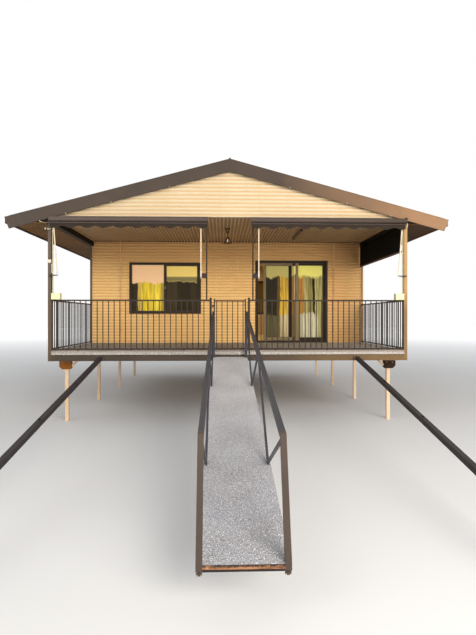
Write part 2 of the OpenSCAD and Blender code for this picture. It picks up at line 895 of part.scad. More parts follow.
// Pull rods beside the corner posts, each ending in a pale box on the handrail
module awning_controls() {
    rod_r = 6;
    box_w = 170;
    box_h = 120;
    top = floor_z + rail_h + box_h;
    x1 = half_w - post_w - 13;
    color("ivory") place() both_sides() {
        box(x1 - box_w, x1, -46, gate_y + rail_t / 2, floor_z + rail_h, top);
        translate([x1 - 30, -38, top - 2]) cylinder(r = rod_r, h = cassette_z - top + 2, $fn = 16);
    }
}

// Services on the front wall and the ceiling

// The conduits climb beside the window and beside the door
window_side = window_offset + window_w / 2;
conduit_left = -window_side - (house_half - window_side) / 4;
conduit_right = door_right + (house_half - door_right) / 5;

module wall_conduits() {
    w = 24;
    clip_w = 46;
    clips = 5;
    y0 = verandah_d - sheet_d - w;
    top = ceiling_z - sheet_t - rib_d;
    color("linen") place() for (x = [conduit_left, conduit_right]) {
        box(x - w / 2, x + w / 2, y0, y0 + w, floor_z + 40, top);
        for (i = [0:clips - 1]) {
            z = floor_z + (i + 0.6) * (top - floor_z) / clips;
            box(x - clip_w / 2, x + clip_w / 2, y0 - 3, y0 + w, z, z + w);
        }
    }
}

// A small lamp with a brim, hung by a short link from a V bracket
lantern_x = -30;
lantern_y = verandah_d * 0.377;

module lantern() {
    top = ceiling_z - sheet_t - rib_d;
    link_top = top - 104;
    body_top = top - 182;
    color("saddlebrown") place() translate([lantern_x, lantern_y, 0]) {
        translate([0, 0, top - 8]) cylinder(r = 55, h = 8, $fn = 48);
        for (side = [-1, 1]) along_y(-6, 6) bar([side * 40, top - 4], [0, link_top], 12);
        translate([0, 0, body_top - 4]) cylinder(r = 5, h = link_top - body_top + 6, $fn = 24);
        translate([0, 0, body_top]) rotate_extrude($fn = 48)
            polygon([[0, 0], [14, 0], [30, -22], [44, -72], [44, -116], [95, -124],
                [95, -136], [50, -146], [18, -168], [0, -172]]);
    }
}

module batten_light() {
    top = ceiling_z - sheet_t - rib_d;
    x = house_half * 0.46;
    y = verandah_d * 0.373;
    length = verandah_d * 0.383;
    color("dimgray") place() box(x - 32, x + 32, y, y + length, top - 52, top);
}

// Gangway: a flat deck on edge beams, falling from the verandah to its low end

// Heights of the gangway's upper face and of its deck's underside at a place along y
function gangway_face(y) = gangway_z + (y - gangway_start) * tan(gangway_slope);
function deck_base(y) = gangway_face(y) - deck_t;

// A strip of height h under the deck from y0 to y1, a seat below it
module under_deck(y0, y1, h, seat) {
    polygon([[y0, deck_base(y0) - h], [y0, deck_base(y0) - seat], [y1, deck_base(y1) - seat],
        [y1, deck_base(y1) - h]]);
}

module gangway_deck() {
    color("lightgray") place() along_x(-gangway_w / 2, gangway_w / 2)
        translate([0, deck_t]) under_deck(gangway_end, gangway_start, deck_t, 0);
}

// Edge beams, cross members, end bar and hinge eyes
module gangway_frame() {
    pad = 12;
    half = gangway_w / 2;
    first = gangway_end + end_clear;
    bays = ceil((gangway_start - cross_first - first) / cross_bay);
    color("dimgray") place() difference() {
        union() {
            for (x = [-half, half - tube_w]) along_x(x, x + tube_w) under_deck(first, gangway_start, edge_h, seat_gap);
            for (i = [0:bays]) {
                y = first + i * (gangway_start - cross_first - first) / bays;
                along_x(1 - half, half - 1) under_deck(y, y + tube_w, cross_h, 4 * seat_gap);
            }
            along_x(-half, half) under_deck(gangway_end, first + 1, end_bar_h, 2 * seat_gap);
            gangway_eyes();
        }
        translate([-half - pad, hinge_y, gangway_hinge_z]) rotate([0, 90, 0])
            cylinder(r = pin_r + pin_play, h = gangway_w + 2 * pad, $fn = 48);
    }
}

// Timber strip in front of the deck's end, between the end posts
module gangway_end_strip() {
    side = gangway_w / 2 - tube_w;
    color("goldenrod") place() box(-side, side, gangway_end - nose, gangway_end,
        deck_base(gangway_end) + 3, gangway_face(gangway_end) - 1);
}

// Rollers in small brackets under the end posts
module gangway_feet() {
    plate_t = 5;
    y0 = gangway_end + 4;
    y1 = y0 + 36;
    top = deck_base(gangway_end) - end_bar_h;
    axle_z = top - 26;
    middle = (y0 + y1) / 2;
    roller_r = 18;
    color("dimgray") place() both_sides() {
        for (x = [gangway_w / 2 - tube_w + 2, gangway_w / 2 - 2 - plate_t]) along_x(x, x + plate_t)
            polygon([[y0, deck_base(y0) - end_bar_h], [y1, deck_base(y1) - end_bar_h],
                [middle + 10, axle_z - 10], [middle - 10, axle_z - 10]]);
        translate([gangway_w / 2 - tube_w + 4, middle, axle_z]) rotate([0, 90, 0])
            cylinder(r = 5, h = tube_w - 8, $fn = 32);
        translate([gangway_w / 2 - tube_w + 12, middle, axle_z]) rotate([0, 90, 0])
            cylinder(r = roller_r, h = tube_w - 24, $fn = 48);
    }
}

cross_first = 110;
cross_bay = 650;
cross_h = 50;
nose = 10;
end_clear = 160;
end_bar_h = 12;
gangway_eye_x = gangway_w / 2 - tube_w;

module gangway_eyes() {
    eye = 26;
    for (x = [-gangway_w / 2, gangway_eye_x]) {
        translate([x, hinge_y, gangway_hinge_z]) rotate([0, 90, 0]) cylinder(r = eye, h = tube_w, $fn = 48);
        translate([x, gangway_start - 60, gangway_hinge_z - 20])
            cube([tube_w, hinge_y - gangway_start + 60, 40]);
    }
}

// Places along y of the upper post, of the end post's foot and of the knee over it
rail_y_top = gangway_start - tube_w / 2 - 22;
rail_y_low = gangway_end - nose + tube_w / 2;
rail_y_knee = rail_y_low + gangway_rake;
rail_gain = (gangway_rail_h - gangway_low_h) / (rail_y_top - rail_y_knee);

// Height of the handrail's middle line at a place along y
function rail_middle(y) =
    gangway_face(y) + gangway_low_h - tube_w / 2 + (y - rail_y_knee) * rail_gain;

// Outline of a bar of width w that bends at q with a mitre
module bent_bar(p, q, r, w) {
    along = [(q - p) / norm(q - p), (r - q) / norm(r - q)];
    side = [for (d = along) [-d[1], d[0]] * w / 2];
    mitre = (side[0] + side[1]) / (1 + along[0] * along[1]);
    polygon([p - side[0], q - mitre, r - side[1], r + side[1], q + mitre, p + side[0]]);
}

// Posts and handrail of one side frame, in y and z
module gangway_rail() {
    knee = [rail_y_knee, rail_middle(rail_y_knee)];
    foot = [rail_y_low, gangway_face(rail_y_low)];
    edge = rail_y_top - tube_w / 2;
    bent_bar(foot - (knee - foot) * 0.035, knee, [edge + 8, rail_middle(edge + 8)], tube_w);
    translate([edge, gangway_face(rail_y_top) - 2])
        square([tube_w, rail_middle(rail_y_top) + tube_w / 2 - gangway_face(rail_y_top) + 2]);
}

// Diagonals that meet in pairs on the deck
module gangway_braces() {
    feet = [for (y = [gangway_start - brace_first:-brace_bay:rail_y_knee]) y];
    tops = concat([rail_y_top], [for (i = [1:1:len(feet) - 1]) (feet[i - 1] + feet[i]) / 2], [rail_y_knee]);
    for (i = [0:len(feet) - 1], y = [tops[i], tops[i + 1]])
        bar([feet[i], gangway_face(feet[i]) + brace_w / 2 - 3], [y, rail_middle(y) - tube_w / 4], brace_w);
}

// A side frame from x to x + tube_w, its diagonals along its middle
module gangway_side(x) {
    inset = (tube_w - brace_w) / 2;
    along_x(x, x + tube_w) gangway_rail_trimmed();
    along_x(x + inset, x + tube_w - inset) difference() {
        gangway_braces();
        deck_cut();
    }
}

module gangway_rail_left() {
    color("dimgray") place() gangway_side(-gangway_w / 2);
}

module gangway_rail_right() {
    color("dimgray") place() gangway_side(gangway_w / 2 - tube_w);
}

module deck_cut() {
    translate([0, deck_t]) under_deck(gangway_end, gangway_start + tube_w, deck_t + edge_h, 0);
}

// The side frame stands on the deck's upper face, and its end post reaches down in front of the deck
module gangway_rail_trimmed() {
    low = deck_base(gangway_end) - end_bar_h;
    y_low = gangway_end - nose;
    difference() {
        union() {
            gangway_rail();
            translate([y_low, low]) square([tube_w, gangway_face(y_low + tube_w) - low]);
        }
        deck_cut();
        translate([y_low - 2 * tube_w, low - tube_w]) square([2 * tube_w, gangway_low_h]);
    }
}

// Cheeks and pins of the gangway's and the mooring arms' hinges
module hinge_brackets() {
    color("dimgray") place() {
        both_sides() {
            hinge_cheeks(gangway_eye_x - lug_gap - lug_t, gangway_eye_x + tube_w + lug_gap, gangway_hinge_z);
            hinge_cheeks(mooring_x - mooring_w / 2 - lug_gap - lug_t, mooring_x + mooring_w / 2 + lug_gap, mooring_z);
        }
    }
}

// Two cheeks with a pin from the inner face of one to the inner face of the other
module hinge_cheeks(x0, x1, z) {
    cheek_r = 26;
    for (x = [x0, x1]) {
        translate([x, hinge_y, z]) rotate([0, 90, 0]) cylinder(r = cheek_r, h = lug_t, $fn = 48);
        box(x, x + lug_t, hinge_y, 0, z - cheek_r, min(z + cheek_r, floor_z - floor_t));
    }
    translate([x0 + 1, hinge_y, z]) rotate([0, 90, 0]) cylinder(r = pin_r, h = x1 + lug_t - x0 - 2, $fn = 32);
}

// Mooring arm: a box section with an eye at each end, falling from the rim
module mooring_arm(x) {
    length = mooring_run / cos(mooring_slope);
    color("dimgray") place() translate([x - mooring_w / 2, hinge_y, mooring_z])
        rotate([mooring_slope, 0, 0]) difference() {
            union() {
                for (y = [0, -length]) translate([0, y, 0]) rotate([0, 90, 0])
                    cylinder(r = eye_r, h = mooring_w, $fn = 48);
                translate([0, -length, -eye_r]) cube([mooring_w, length, 2 * eye_r]);
                translate([0, 60 - length, -mooring_w / 2]) cube([mooring_w, length - 120, mooring_w]);
            }
            translate([mooring_wall, 80 - length, mooring_wall - mooring_w / 2])
                cube([mooring_w - 2 * mooring_wall, length - 160, mooring_w - 2 * mooring_wall]);
            for (y = [0, -length]) translate([-1, y, 0]) rotate([0, 90, 0])
                cylinder(r = pin_r + pin_play, h = mooring_w + 2, $fn = 48);
        }
}

module mooring_arm_left() {
    mooring_arm(-mooring_x);
}

module mooring_arm_right() {
    mooring_arm(mooring_x);
}

stilts();
bearers();
floor_frame();
verandah_floor();
house_floor();
front_wall_left();
front_wall_right();
front_wall_head();
side_walls();
rear_wall();
front_cladding();
side_claddings();
rear_cladding();
corner_flashings();
gables();
verandah_ceiling();
house_ceiling();
soffits();
roof_panels();
roof_sheets();
ridge_cap();
barge_boards();
eave_fascias();
verandah_frames();
awning_guides();
gate_posts();
front_balustrade_left();
front_balustrade_right();
side_balustrade_left();
side_balustrade_right();
window_frames();
glazing();
door_frame();
fixed_door_leaf();
sliding_door_leaf();
sliding_door_glass();
awning_cassettes();
awning_valances();
awning_arms();
side_awnings();
side_screen();
awning_controls();
wall_conduits();
lantern();
batten_light();
gate();
gangway_deck();
gangway_frame();
gangway_end_strip();
gangway_feet();
gangway_rail_left();
gangway_rail_right();
hinge_brackets();
mooring_arm_left();
mooring_arm_right();
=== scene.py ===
import bpy
import bmesh
import math
from mathutils import Matrix, Vector, noise as field


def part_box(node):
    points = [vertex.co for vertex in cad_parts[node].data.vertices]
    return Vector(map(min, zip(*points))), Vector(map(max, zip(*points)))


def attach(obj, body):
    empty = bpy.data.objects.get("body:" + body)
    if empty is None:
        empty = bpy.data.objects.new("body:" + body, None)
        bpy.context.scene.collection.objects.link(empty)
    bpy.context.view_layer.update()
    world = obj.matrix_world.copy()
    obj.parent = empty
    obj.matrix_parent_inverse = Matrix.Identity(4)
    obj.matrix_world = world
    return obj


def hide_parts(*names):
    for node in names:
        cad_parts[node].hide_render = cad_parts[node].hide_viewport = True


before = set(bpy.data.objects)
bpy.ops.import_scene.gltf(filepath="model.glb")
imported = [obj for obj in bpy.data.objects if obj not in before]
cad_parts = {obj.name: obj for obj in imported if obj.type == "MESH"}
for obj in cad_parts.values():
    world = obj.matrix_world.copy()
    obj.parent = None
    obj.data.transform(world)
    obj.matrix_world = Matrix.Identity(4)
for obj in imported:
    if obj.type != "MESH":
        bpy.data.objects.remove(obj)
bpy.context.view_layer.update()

print("stilt house: frame loaded")


# places in the shared frame, in metres

def low(node):
    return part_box(node)[0]


def high(node):
    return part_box(node)[1]


front = low("verandah_floor").y
wall = high("verandah_floor").y                # front face of the wall's frame
rear = high("house_floor").y
floor = high("verandah_floor").z
ceiling = high("verandah_frames").z
halfWidth = high("verandah_floor").x
post = 0.064
house = {
    "rim": low("floor_frame").z,
    "wallSide": high("side_walls").x,
    "ridge": high("barge_boards").z,
    "eave": high("barge_boards").x,
    "pitch": math.radians(15),
    "wave": 0.076,
    "sheet": 0.019,                            # thickness of the corrugated sheets
    "lining": 0.015,                           # depth of the ribbed ceiling below the roof frame
}


def roofTop(x):
    return house["ridge"] - abs(x) * math.tan(house["pitch"])


def spread(first, last, spacing):
    count = max(1, round((last - first) / spacing))
    return [first + (last - first) * i / count for i in range(count + 1)]


# mesh helpers

def placed(point, turn, axis="Z"):             # moved there and turned by these degrees
    return Matrix.Translation(point) @ Matrix.Rotation(math.radians(turn), 4, axis)


def block(bm, first, last, edge=0.0, steps=1, place=Matrix.Identity(4)):
    lowest, highest = Vector(map(min, first, last)), Vector(map(max, first, last))
    shape = Matrix.Translation((lowest + highest) / 2) @ Matrix.Diagonal((*(highest - lowest), 1))
    made = bmesh.ops.create_cube(bm, size=1, matrix=place @ shape)
    if edge:
        edges = list({e for v in made["verts"] for e in v.link_edges})
        bmesh.ops.bevel(bm, geom=edges, offset=edge, affect="EDGES", segments=steps, profile=0.5, material=-1)


def rod(bm, start, end, radius, sides=16, tip=None, place=Matrix.Identity(4)):
    start, end = Vector(start), Vector(end)
    turn = (end - start).to_track_quat("Z", "Y").to_matrix().to_4x4()
    bmesh.ops.create_cone(bm, cap_ends=True, cap_tris=False, segments=sides, radius1=radius,
                          radius2=radius if tip is None else tip, depth=(end - start).length,
                          matrix=place @ Matrix.Translation((start + end) / 2) @ turn)


def turned(bm, profile, centre):               # pairs of radius and height, turned about an upright axis
    centre = Vector(centre)
    verts = [bm.verts.new(centre + Vector((r, 0, h))) for r, h in profile]
    edges = [bm.edges.new(pair) for pair in zip(verts, verts[1:])]
    bmesh.ops.spin(bm, geom=verts + edges, cent=centre, axis=(0, 0, 1), dvec=(0, 0, 0),
                   angle=2 * math.pi, steps=36, use_merge=True)
    bmesh.ops.remove_doubles(bm, verts=bm.verts, dist=1e-5)


def hexHead(bm, point, outward, head=0.0065, washer=0.011, rise=0.006):
    point, outward = Vector(point), Vector(outward).normalized()
    rod(bm, point - outward * 0.001, point + outward * 0.0018, washer, 10)
    rod(bm, point + outward * 0.0018, point + outward * rise, head, 6, head * 0.9)


def addObject(name, data):
    item = bpy.data.objects.new(name, data)
    bpy.context.scene.collection.objects.link(item)
    return item


def finishPiece(bm, name, finish, body="house", sharp=32):
    bmesh.ops.recalc_face_normals(bm, faces=bm.faces)
    mesh = bpy.data.meshes.new(name)
    bm.to_mesh(mesh)
    bm.free()
    mesh.materials.append(finishes[finish])
    mesh.shade_smooth()
    if sharp:
        mesh.set_sharp_from_angle(angle=math.radians(sharp))
    piece = addObject(name, mesh)
    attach(piece, body)
    return piece


# shader helpers

def tone(red, green, blue):                    # a screen colour as the linear colour a shader takes
    parts = [c / 255 for c in (red, green, blue)]
    return tuple(c / 12.92 if c <= 0.04045 else ((c + 0.055) / 1.055) ** 2.4 for c in parts) + (1.0,)


def feed(tree, socket, value):
    if isinstance(value, bpy.types.NodeSocket):
        tree.links.new(value, socket)
    else:
        socket.default_value = value


def feedAll(tree, node, sockets):
    for key, value in sockets.items():
        feed(tree, node.inputs[key], value)


def put(tree, kind, sockets, **settings):
    node = tree.nodes.new("ShaderNode" + kind)
    for key, value in settings.items():
        setattr(node, key, value)
    feedAll(tree, node, sockets)
    return node.outputs


def blendTones(tree, share, first, second):
    return put(tree, "Mix", {0: share, 6: first, 7: second}, data_type="RGBA")[2]


def calc(tree, operation, *values):
    return put(tree, "Math", dict(enumerate(values)), operation=operation)[0]


def times(tree, first, second):
    return calc(tree, "MULTIPLY", first, second)


def plus(tree, first, second):
    return calc(tree, "ADD", first, second)


def remap(tree, value, fromLow, fromHigh, toLow=0.0, toHigh=1.0):
    return put(tree, "MapRange", {"Value": value, "From Min": fromLow, "From Max": fromHigh,
                                  "To Min": toLow, "To Max": toHigh})[0]


def stretch(tree, vector, scale, place=(0, 0, 0)):
    return put(tree, "Mapping", {"Vector": vector, "Scale": scale, "Location": place})[0]


def cloud(tree, vector, scale, detail=3.0, rough=0.5):
    return put(tree, "TexNoise", {"Vector": vector, "Scale": scale, "Detail": detail, "Roughness": rough})[0]


def patches(tree, vector, scale, low, high, toLow=0.0, toHigh=1.0, detail=3.0):
    return remap(tree, cloud(tree, vector, scale, detail), low, high, toLow, toHigh)


def split(tree, vector):
    return put(tree, "SeparateXYZ", {"Vector": vector})


def seenRays(tree):                            # rays by which the camera sees the studio itself
    rays = put(tree, "LightPath", {})
    return calc(tree, "MAXIMUM", calc(tree, "MAXIMUM", rays["Is Camera Ray"], rays["Is Glossy Ray"]),
                rays["Is Transmission Ray"])


def startGroup(name, inputs, outputs):
    group = bpy.data.node_groups.new(name, "ShaderNodeTree")
    for way, sockets in (("INPUT", inputs), ("OUTPUT", outputs)):
        for label, kind in sockets.items():
            group.interface.new_socket(label, in_out=way, socket_type="NodeSocket" + kind)
    return group, group.nodes.new("NodeGroupInput").outputs, group.nodes.new("NodeGroupOutput")


def useGroup(tree, name, sockets):
    node = tree.nodes.new("ShaderNodeGroup")
    node.node_tree = groups[name]
    feedAll(tree, node, sockets)
    return node.outputs


# paint that has faded in patches, with runs of dirt down it and a fine grain
def weatheredPaint():
    group, given, out = startGroup("weatheredPaint",
                                   {"Vector": "Vector", "Paint": "Color", "Faded": "Color", "Wear": "Float"},
                                   {"Color": "Color", "Dust": "Float", "Height": "Float"})
    broad = patches(group, given["Vector"], 1.3, 0.38, 0.66, detail=4.0)
    runs = patches(group, stretch(group, given["Vector"], (13, 13, 0.9)), 1.0, 0.5, 0.78)
    grain = cloud(group, given["Vector"], 170, 2.0)
    dirt = times(group, runs, given["Wear"])
    colour = blendTones(group, broad, given["Paint"], given["Faded"])
    colour = blendTones(group, dirt, colour, tone(74, 62, 50))
    colour = blendTones(group, remap(group, grain, 0.35, 0.65, 0, 0.16), colour, tone(40, 34, 28))
    feedAll(group, out, {"Color": colour, "Dust": remap(group, plus(group, broad, dirt), 0, 1.6), "Height": grain})
    return group


# light and dark grains on a coat
def speckledCoat():
    group, given, out = startGroup("speckledCoat", {"Vector": "Vector", "Base": "Color", "Size": "Float"},
                                   {"Color": "Color", "Height": "Float"})
    dark = patches(group, given["Vector"], given["Size"], 0.56, 0.66, detail=1.0)
    shifted = stretch(group, given["Vector"], (1, 1, 1), (3.1, 1.7, 0.4))
    pale = patches(group, shifted, given["Size"], 0.57, 0.67, detail=1.0)
    broad = patches(group, given["Vector"], 2.2, 0.35, 0.7)
    colour = given["Base"]
    for mask, share, paint in ((broad, 0.25, (140, 130, 118)), (dark, 0.85, (76, 72, 72)),
                               (pale, 0.95, (242, 238, 233))):
        colour = blendTones(group, times(group, mask, share), colour, tone(*paint))
    feedAll(group, out, {"Color": colour, "Height": calc(group, "SUBTRACT", pale, dark)})
    return group


# rust in blooms: where it lies and its colour
def rustBloom():
    group, given, out = startGroup("rustBloom", {"Vector": "Vector", "Amount": "Float"},
                                   {"Mask": "Float", "Color": "Color"})
    blooms = cloud(group, given["Vector"], 7.0, 6.0, 0.62)
    edge = calc(group, "SUBTRACT", 0.78, times(group, given["Amount"], 0.5))
    flecks = patches(group, given["Vector"], 60, 0.4, 0.6, detail=4.0)
    feedAll(group, out, {"Mask": remap(group, calc(group, "SUBTRACT", blooms, edge), 0.0, 0.07),
                         "Color": blendTones(group, flecks, tone(92, 48, 26), tone(186, 98, 38))})
    return group


# crossing threads, on a map in metres
def wovenThreads():
    group, given, out = startGroup("wovenThreads", {"Vector": "Vector", "Pitch": "Float"},
                                   {"Height": "Float", "Shade": "Float"})
    waves = [put(group, "TexWave", {"Vector": given["Vector"], "Scale": given["Pitch"], "Distortion": 0.4,
                                    "Detail": 1.0}, bands_direction=direction)[1] for direction in ("X", "Y")]
    height = calc(group, "MAXIMUM", *waves)
    shade = remap(group, plus(group, height, cloud(group, given["Vector"], 9)), 0.6, 1.6)
    feedAll(group, out, {"Height": height, "Shade": shade})
    return group


groups = {make.__name__: make() for make in (weatheredPaint, speckledCoat, rustBloom, wovenThreads)}


# finishes; each takes its name from the table below
def startMaterial(mapped="Object"):
    material = bpy.data.materials.new("finish")
    material.use_nodes = True
    tree = material.node_tree
    return material, tree, tree.nodes["Principled BSDF"], tree.nodes.new("ShaderNodeTexCoord").outputs[mapped]


def addBump(tree, shader, height, strength, distance):
    feed(tree, shader.inputs["Normal"], put(tree, "Bump", {"Height": height, "Strength": strength,
                                                           "Distance": distance})[0])


# another tone along one axis, from where it starts to where it is full; drift lets its edge wander
def addBand(tree, place, colour, axis, start, full, paint, share=1.0, drift=0.0):
    value = split(tree, place)[axis]
    if drift:
        value = plus(tree, value, patches(tree, place, 1.6, 0.3, 0.7, -drift, drift))
    return blendTones(tree, remap(tree, value, start, full, 0, share), colour, tone(*paint))


# painted shade: darker troughs of a corrugated or ribbed sheet, where shade would fall
def addTroughShade(tree, place, colour, start, paint, crest=0.5, axis="Z"):
    along = calc(tree, "SUBTRACT", split(tree, place)[axis], start)
    beat = calc(tree, "COSINE", times(tree, along, 2 * math.pi / house["wave"]))
    return blendTones(tree, remap(tree, beat, crest, -0.95), colour, tone(*paint))


def paintFinish(paint, faded, wear=0.1, rough=(0.45, 0.6), metallic=0.0, rust=0.0, bands=(), waves=(), gloss=0.28,
                bump=0.0006):
    material, tree, shader, place = startMaterial()
    coat = useGroup(tree, "weatheredPaint", {"Vector": place, "Paint": tone(*paint), "Faded": tone(*faded),
                                             "Wear": wear})
    # waves, where given, paint shade into the sheet's troughs
    colour = addTroughShade(tree, place, coat["Color"], *waves) if waves else coat["Color"]
    for band in bands:
        colour = addBand(tree, place, colour, *band)
    if rust:
        bloom = useGroup(tree, "rustBloom", {"Vector": place, "Amount": rust})
        colour = blendTones(tree, bloom["Mask"], colour, bloom["Color"])
    feedAll(tree, shader, {"Base Color": colour, "Roughness": remap(tree, coat["Dust"], 0, 1, *rough),
                           "Metallic": metallic, "Specular IOR Level": gloss})
    addBump(tree, shader, coat["Height"], 0.4, bump)
    return material


def speckleFinish(base, size, joints=None, bands=()):
    material, tree, shader, place = startMaterial()
    under = tone(*base)
    for band in bands:
        under = addBand(tree, place, under, *band)
    coat = useGroup(tree, "speckledCoat", {"Vector": place, "Base": under, "Size": size})
    colour = coat["Color"]
    if joints:                                 # narrow dark joints between panels
        beat = calc(tree, "PINGPONG", plus(tree, split(tree, place)["X"], 100.0), joints / 2)
        colour = blendTones(tree, remap(tree, beat, 0.002, 0.005, 0.8, 0.0), colour, tone(60, 55, 50))
    feedAll(tree, shader, {"Base Color": colour, "Roughness": remap(tree, coat["Height"], -1, 1, 0.6, 0.8),
                           "Specular IOR Level": 0.3})
    addBump(tree, shader, coat["Height"], 0.5, 0.0008)
    return material


def clothFinish(base, second, pitch=220.0, seeThrough=0.0):
    material, tree, shader, place = startMaterial("UV")
    threads = useGroup(tree, "wovenThreads", {"Vector": place, "Pitch": pitch})
    feedAll(tree, shader, {"Base Color": blendTones(tree, threads["Shade"], tone(*base), tone(*second)),
                           "Roughness": 0.9, "Specular IOR Level": 0.15})
    if seeThrough:
        feed(tree, shader.inputs["Alpha"], remap(tree, threads["Height"], 0, 1, 1 - seeThrough, 1))
    addBump(tree, shader, threads["Height"], 0.5, 0.0006)
    return material


# panes bend painted reflections and painted room light in long soft bands, and a film of their own tone lies on each;
# the front panes glow with painted light
def glassFinish(tint, panes):
    material, tree, shader, place = startMaterial()
    film = patches(tree, stretch(tree, place, (3, 3, 0.7)), 1.5, 0.35, 0.75, 0.015, 0.09, 4.0)
    parts = split(tree, place)
    facing = remap(tree, parts["Y"], wall + 0.12, wall + 0.1)         # only the panes of the front wall
    colour = blendTones(tree, patches(tree, place, 0.8, 0.3, 0.7), tone(*tint), tone(255, 246, 226))
    colour = blendTones(tree, facing, tone(112, 94, 52), colour)
    ripple = patches(tree, stretch(tree, place, (6, 1, 3)), 1.0, 0.3, 0.7, -0.06, 0.06, 4.0)
    height = plus(tree, parts["Z"], ripple)
    across = plus(tree, parts["X"], times(tree, ripple, 0.25))
    streaks = patches(tree, stretch(tree, place, (26, 1, 2)), 1.0, 0.3, 0.7, 0.0, 0.55)
    # painted glow: the front panes give off their painted colour as light
    glow = 0.0
    for pane in panes:
        (first, last), strips = pane["x"], pane["strips"]
        here = times(tree, times(tree, remap(tree, parts["X"], first, first + 0.002),
                                 remap(tree, parts["X"], last + 0.002, last)), facing)
        shade = tone(*strips[0][1])
        for x, upper, *lower in strips:
            strip = tone(*upper)
            if lower:                          # another tone below the pane's base height
                strip = blendTones(tree, remap(tree, height, pane["base"] + 0.02, pane["base"] - 0.02), strip,
                                   tone(*lower[0]))
            shade = blendTones(tree, remap(tree, across, x, x + 0.012), shade, strip)
        shade = blendTones(tree, streaks, shade, tone(56, 42, 18))
        shade = blendTones(tree, remap(tree, height, *pane["turn"]), shade, tone(*pane["high"]))
        if "haze" in pane:                     # the pale strip over the dark mirrored trees
            base, top, paint = pane["haze"]
            strip = times(tree, remap(tree, height, base, base + 0.03), remap(tree, parts["Z"], top, top - 0.04))
            shade = blendTones(tree, strip, shade, tone(*paint))
        if "bar" in pane:                      # a dark upright behind the pane
            left, right, paint = pane["bar"]
            bar = times(tree, remap(tree, parts["X"], left, left + 0.004),
                        remap(tree, parts["X"], right, right - 0.004))
            shade = blendTones(tree, bar, shade, tone(*paint))
        colour = blendTones(tree, here, colour, shade)
        glow = plus(tree, glow, times(tree, here, pane["glow"]))
    feedAll(tree, shader, {"Base Color": colour, "Roughness": film, "Transmission Weight": 0.1, "IOR": 1.45,
                           "Emission Color": blendTones(tree, glow, (0, 0, 0, 1), colour),
                           "Emission Strength": 1.0, "Specular IOR Level": 0.15})
    return material


# lines along the board, stained in patches along its upper edge
def woodFinish(paleWood, darkWood, upperEdge):
    material, tree, shader, place = startMaterial()
    lines = cloud(tree, stretch(tree, place, (5, 60, 90)), 1.0, 6.0, 0.6)
    worn = patches(tree, place, 38, 0.45, 0.62, detail=4.0)
    colour = blendTones(tree, remap(tree, lines, 0.35, 0.65), tone(*paleWood), tone(*darkWood))
    colour = blendTones(tree, times(tree, worn, 0.5), colour, tone(84, 52, 24))
    level = plus(tree, split(tree, place)["Z"], patches(tree, place, 60, 0.3, 0.7, -0.008, 0.008))
    stain = times(tree, patches(tree, place, 24, 0.38, 0.5, 0.25),
                  remap(tree, level, upperEdge - 0.014, upperEdge - 0.009))
    feedAll(tree, shader, {"Base Color": blendTones(tree, stain, colour, tone(48, 34, 28)), "Roughness": 0.68})
    addBump(tree, shader, lines, 0.6, 0.002)
    return material


def opalFinish():
    material, tree, shader, place = startMaterial()
    glow = patches(tree, place, 30, 0.3, 0.7, 0.5, 0.75, 2.0)
    feedAll(tree, shader, {"Base Color": blendTones(tree, glow, tone(250, 240, 220), tone(255, 250, 240)),
                           "Roughness": 0.25, "Emission Color": tone(255, 238, 205), "Emission Strength": 0.55})
    return material


# painted reflections: what each front pane mirrors, as upright strips from their left edges, with a second tone below
# the base height where they have one, and the sky's tone above the turn; glow is how strongly the pane gives off
# painted light
panes = (
    {"x": (-2.5, -1.61), "turn": (3.0, 3.03), "high": (248, 206, 156), "glow": 0.12,
     "strips": [(-2.5, (52, 42, 24)), (-2.3, (226, 190, 88)), (-2.2, (255, 226, 60)), (-2.0, (244, 202, 66)),
                (-1.95, (255, 228, 76)), (-1.72, (214, 176, 64))]},
    {"x": (-1.6, -0.7), "turn": (3.05, 3.09), "high": (255, 226, 126), "glow": 0.05,
     "haze": (3.06, 3.19, (138, 126, 78)),
     "strips": [(-1.6, (70, 58, 32)), (-1.3, (48, 38, 18)), (-0.95, (62, 50, 26))]},
    {"x": (0.7, 1.7), "turn": (3.16, 3.2), "high": (200, 188, 108), "glow": 0.02, "base": 2.21,
     "bar": (1.555, 1.645, (38, 22, 10)),
     "strips": [(0.7, (40, 33, 15), (104, 96, 60)), (1.26, (116, 92, 38), (120, 108, 70)),
                (1.337, (244, 196, 66), (222, 200, 148)), (1.6, (150, 110, 50), (122, 100, 64))]},
    {"x": (1.71, 2.6), "turn": (3.16, 3.24), "high": (252, 244, 126), "glow": 0.05, "base": 2.21,
     "strips": [(1.71, (164, 128, 66), (150, 128, 78)), (1.84, (200, 142, 56), (224, 216, 176)),
                (1.953, (194, 180, 108), (240, 234, 196)), (2.06, (160, 146, 80), (214, 204, 160)),
                (2.184, (34, 28, 14), (232, 226, 190)), (2.25, (216, 206, 122), (236, 228, 186)),
                (2.33, (190, 180, 104), (190, 180, 118))]},
)
sheetRough, boardRough, liningRough = (0.55, 0.7), (0.5, 0.7), (0.6, 0.75)      # from clean to dusty
grained, smooth = (0.5, 0.65), (0.4, 0.6)
rampY, soffitZ = low("gangway_rail_left").y, high("soffits").z
armZ, screenZ = low("awning_arms").z, low("side_screen").z
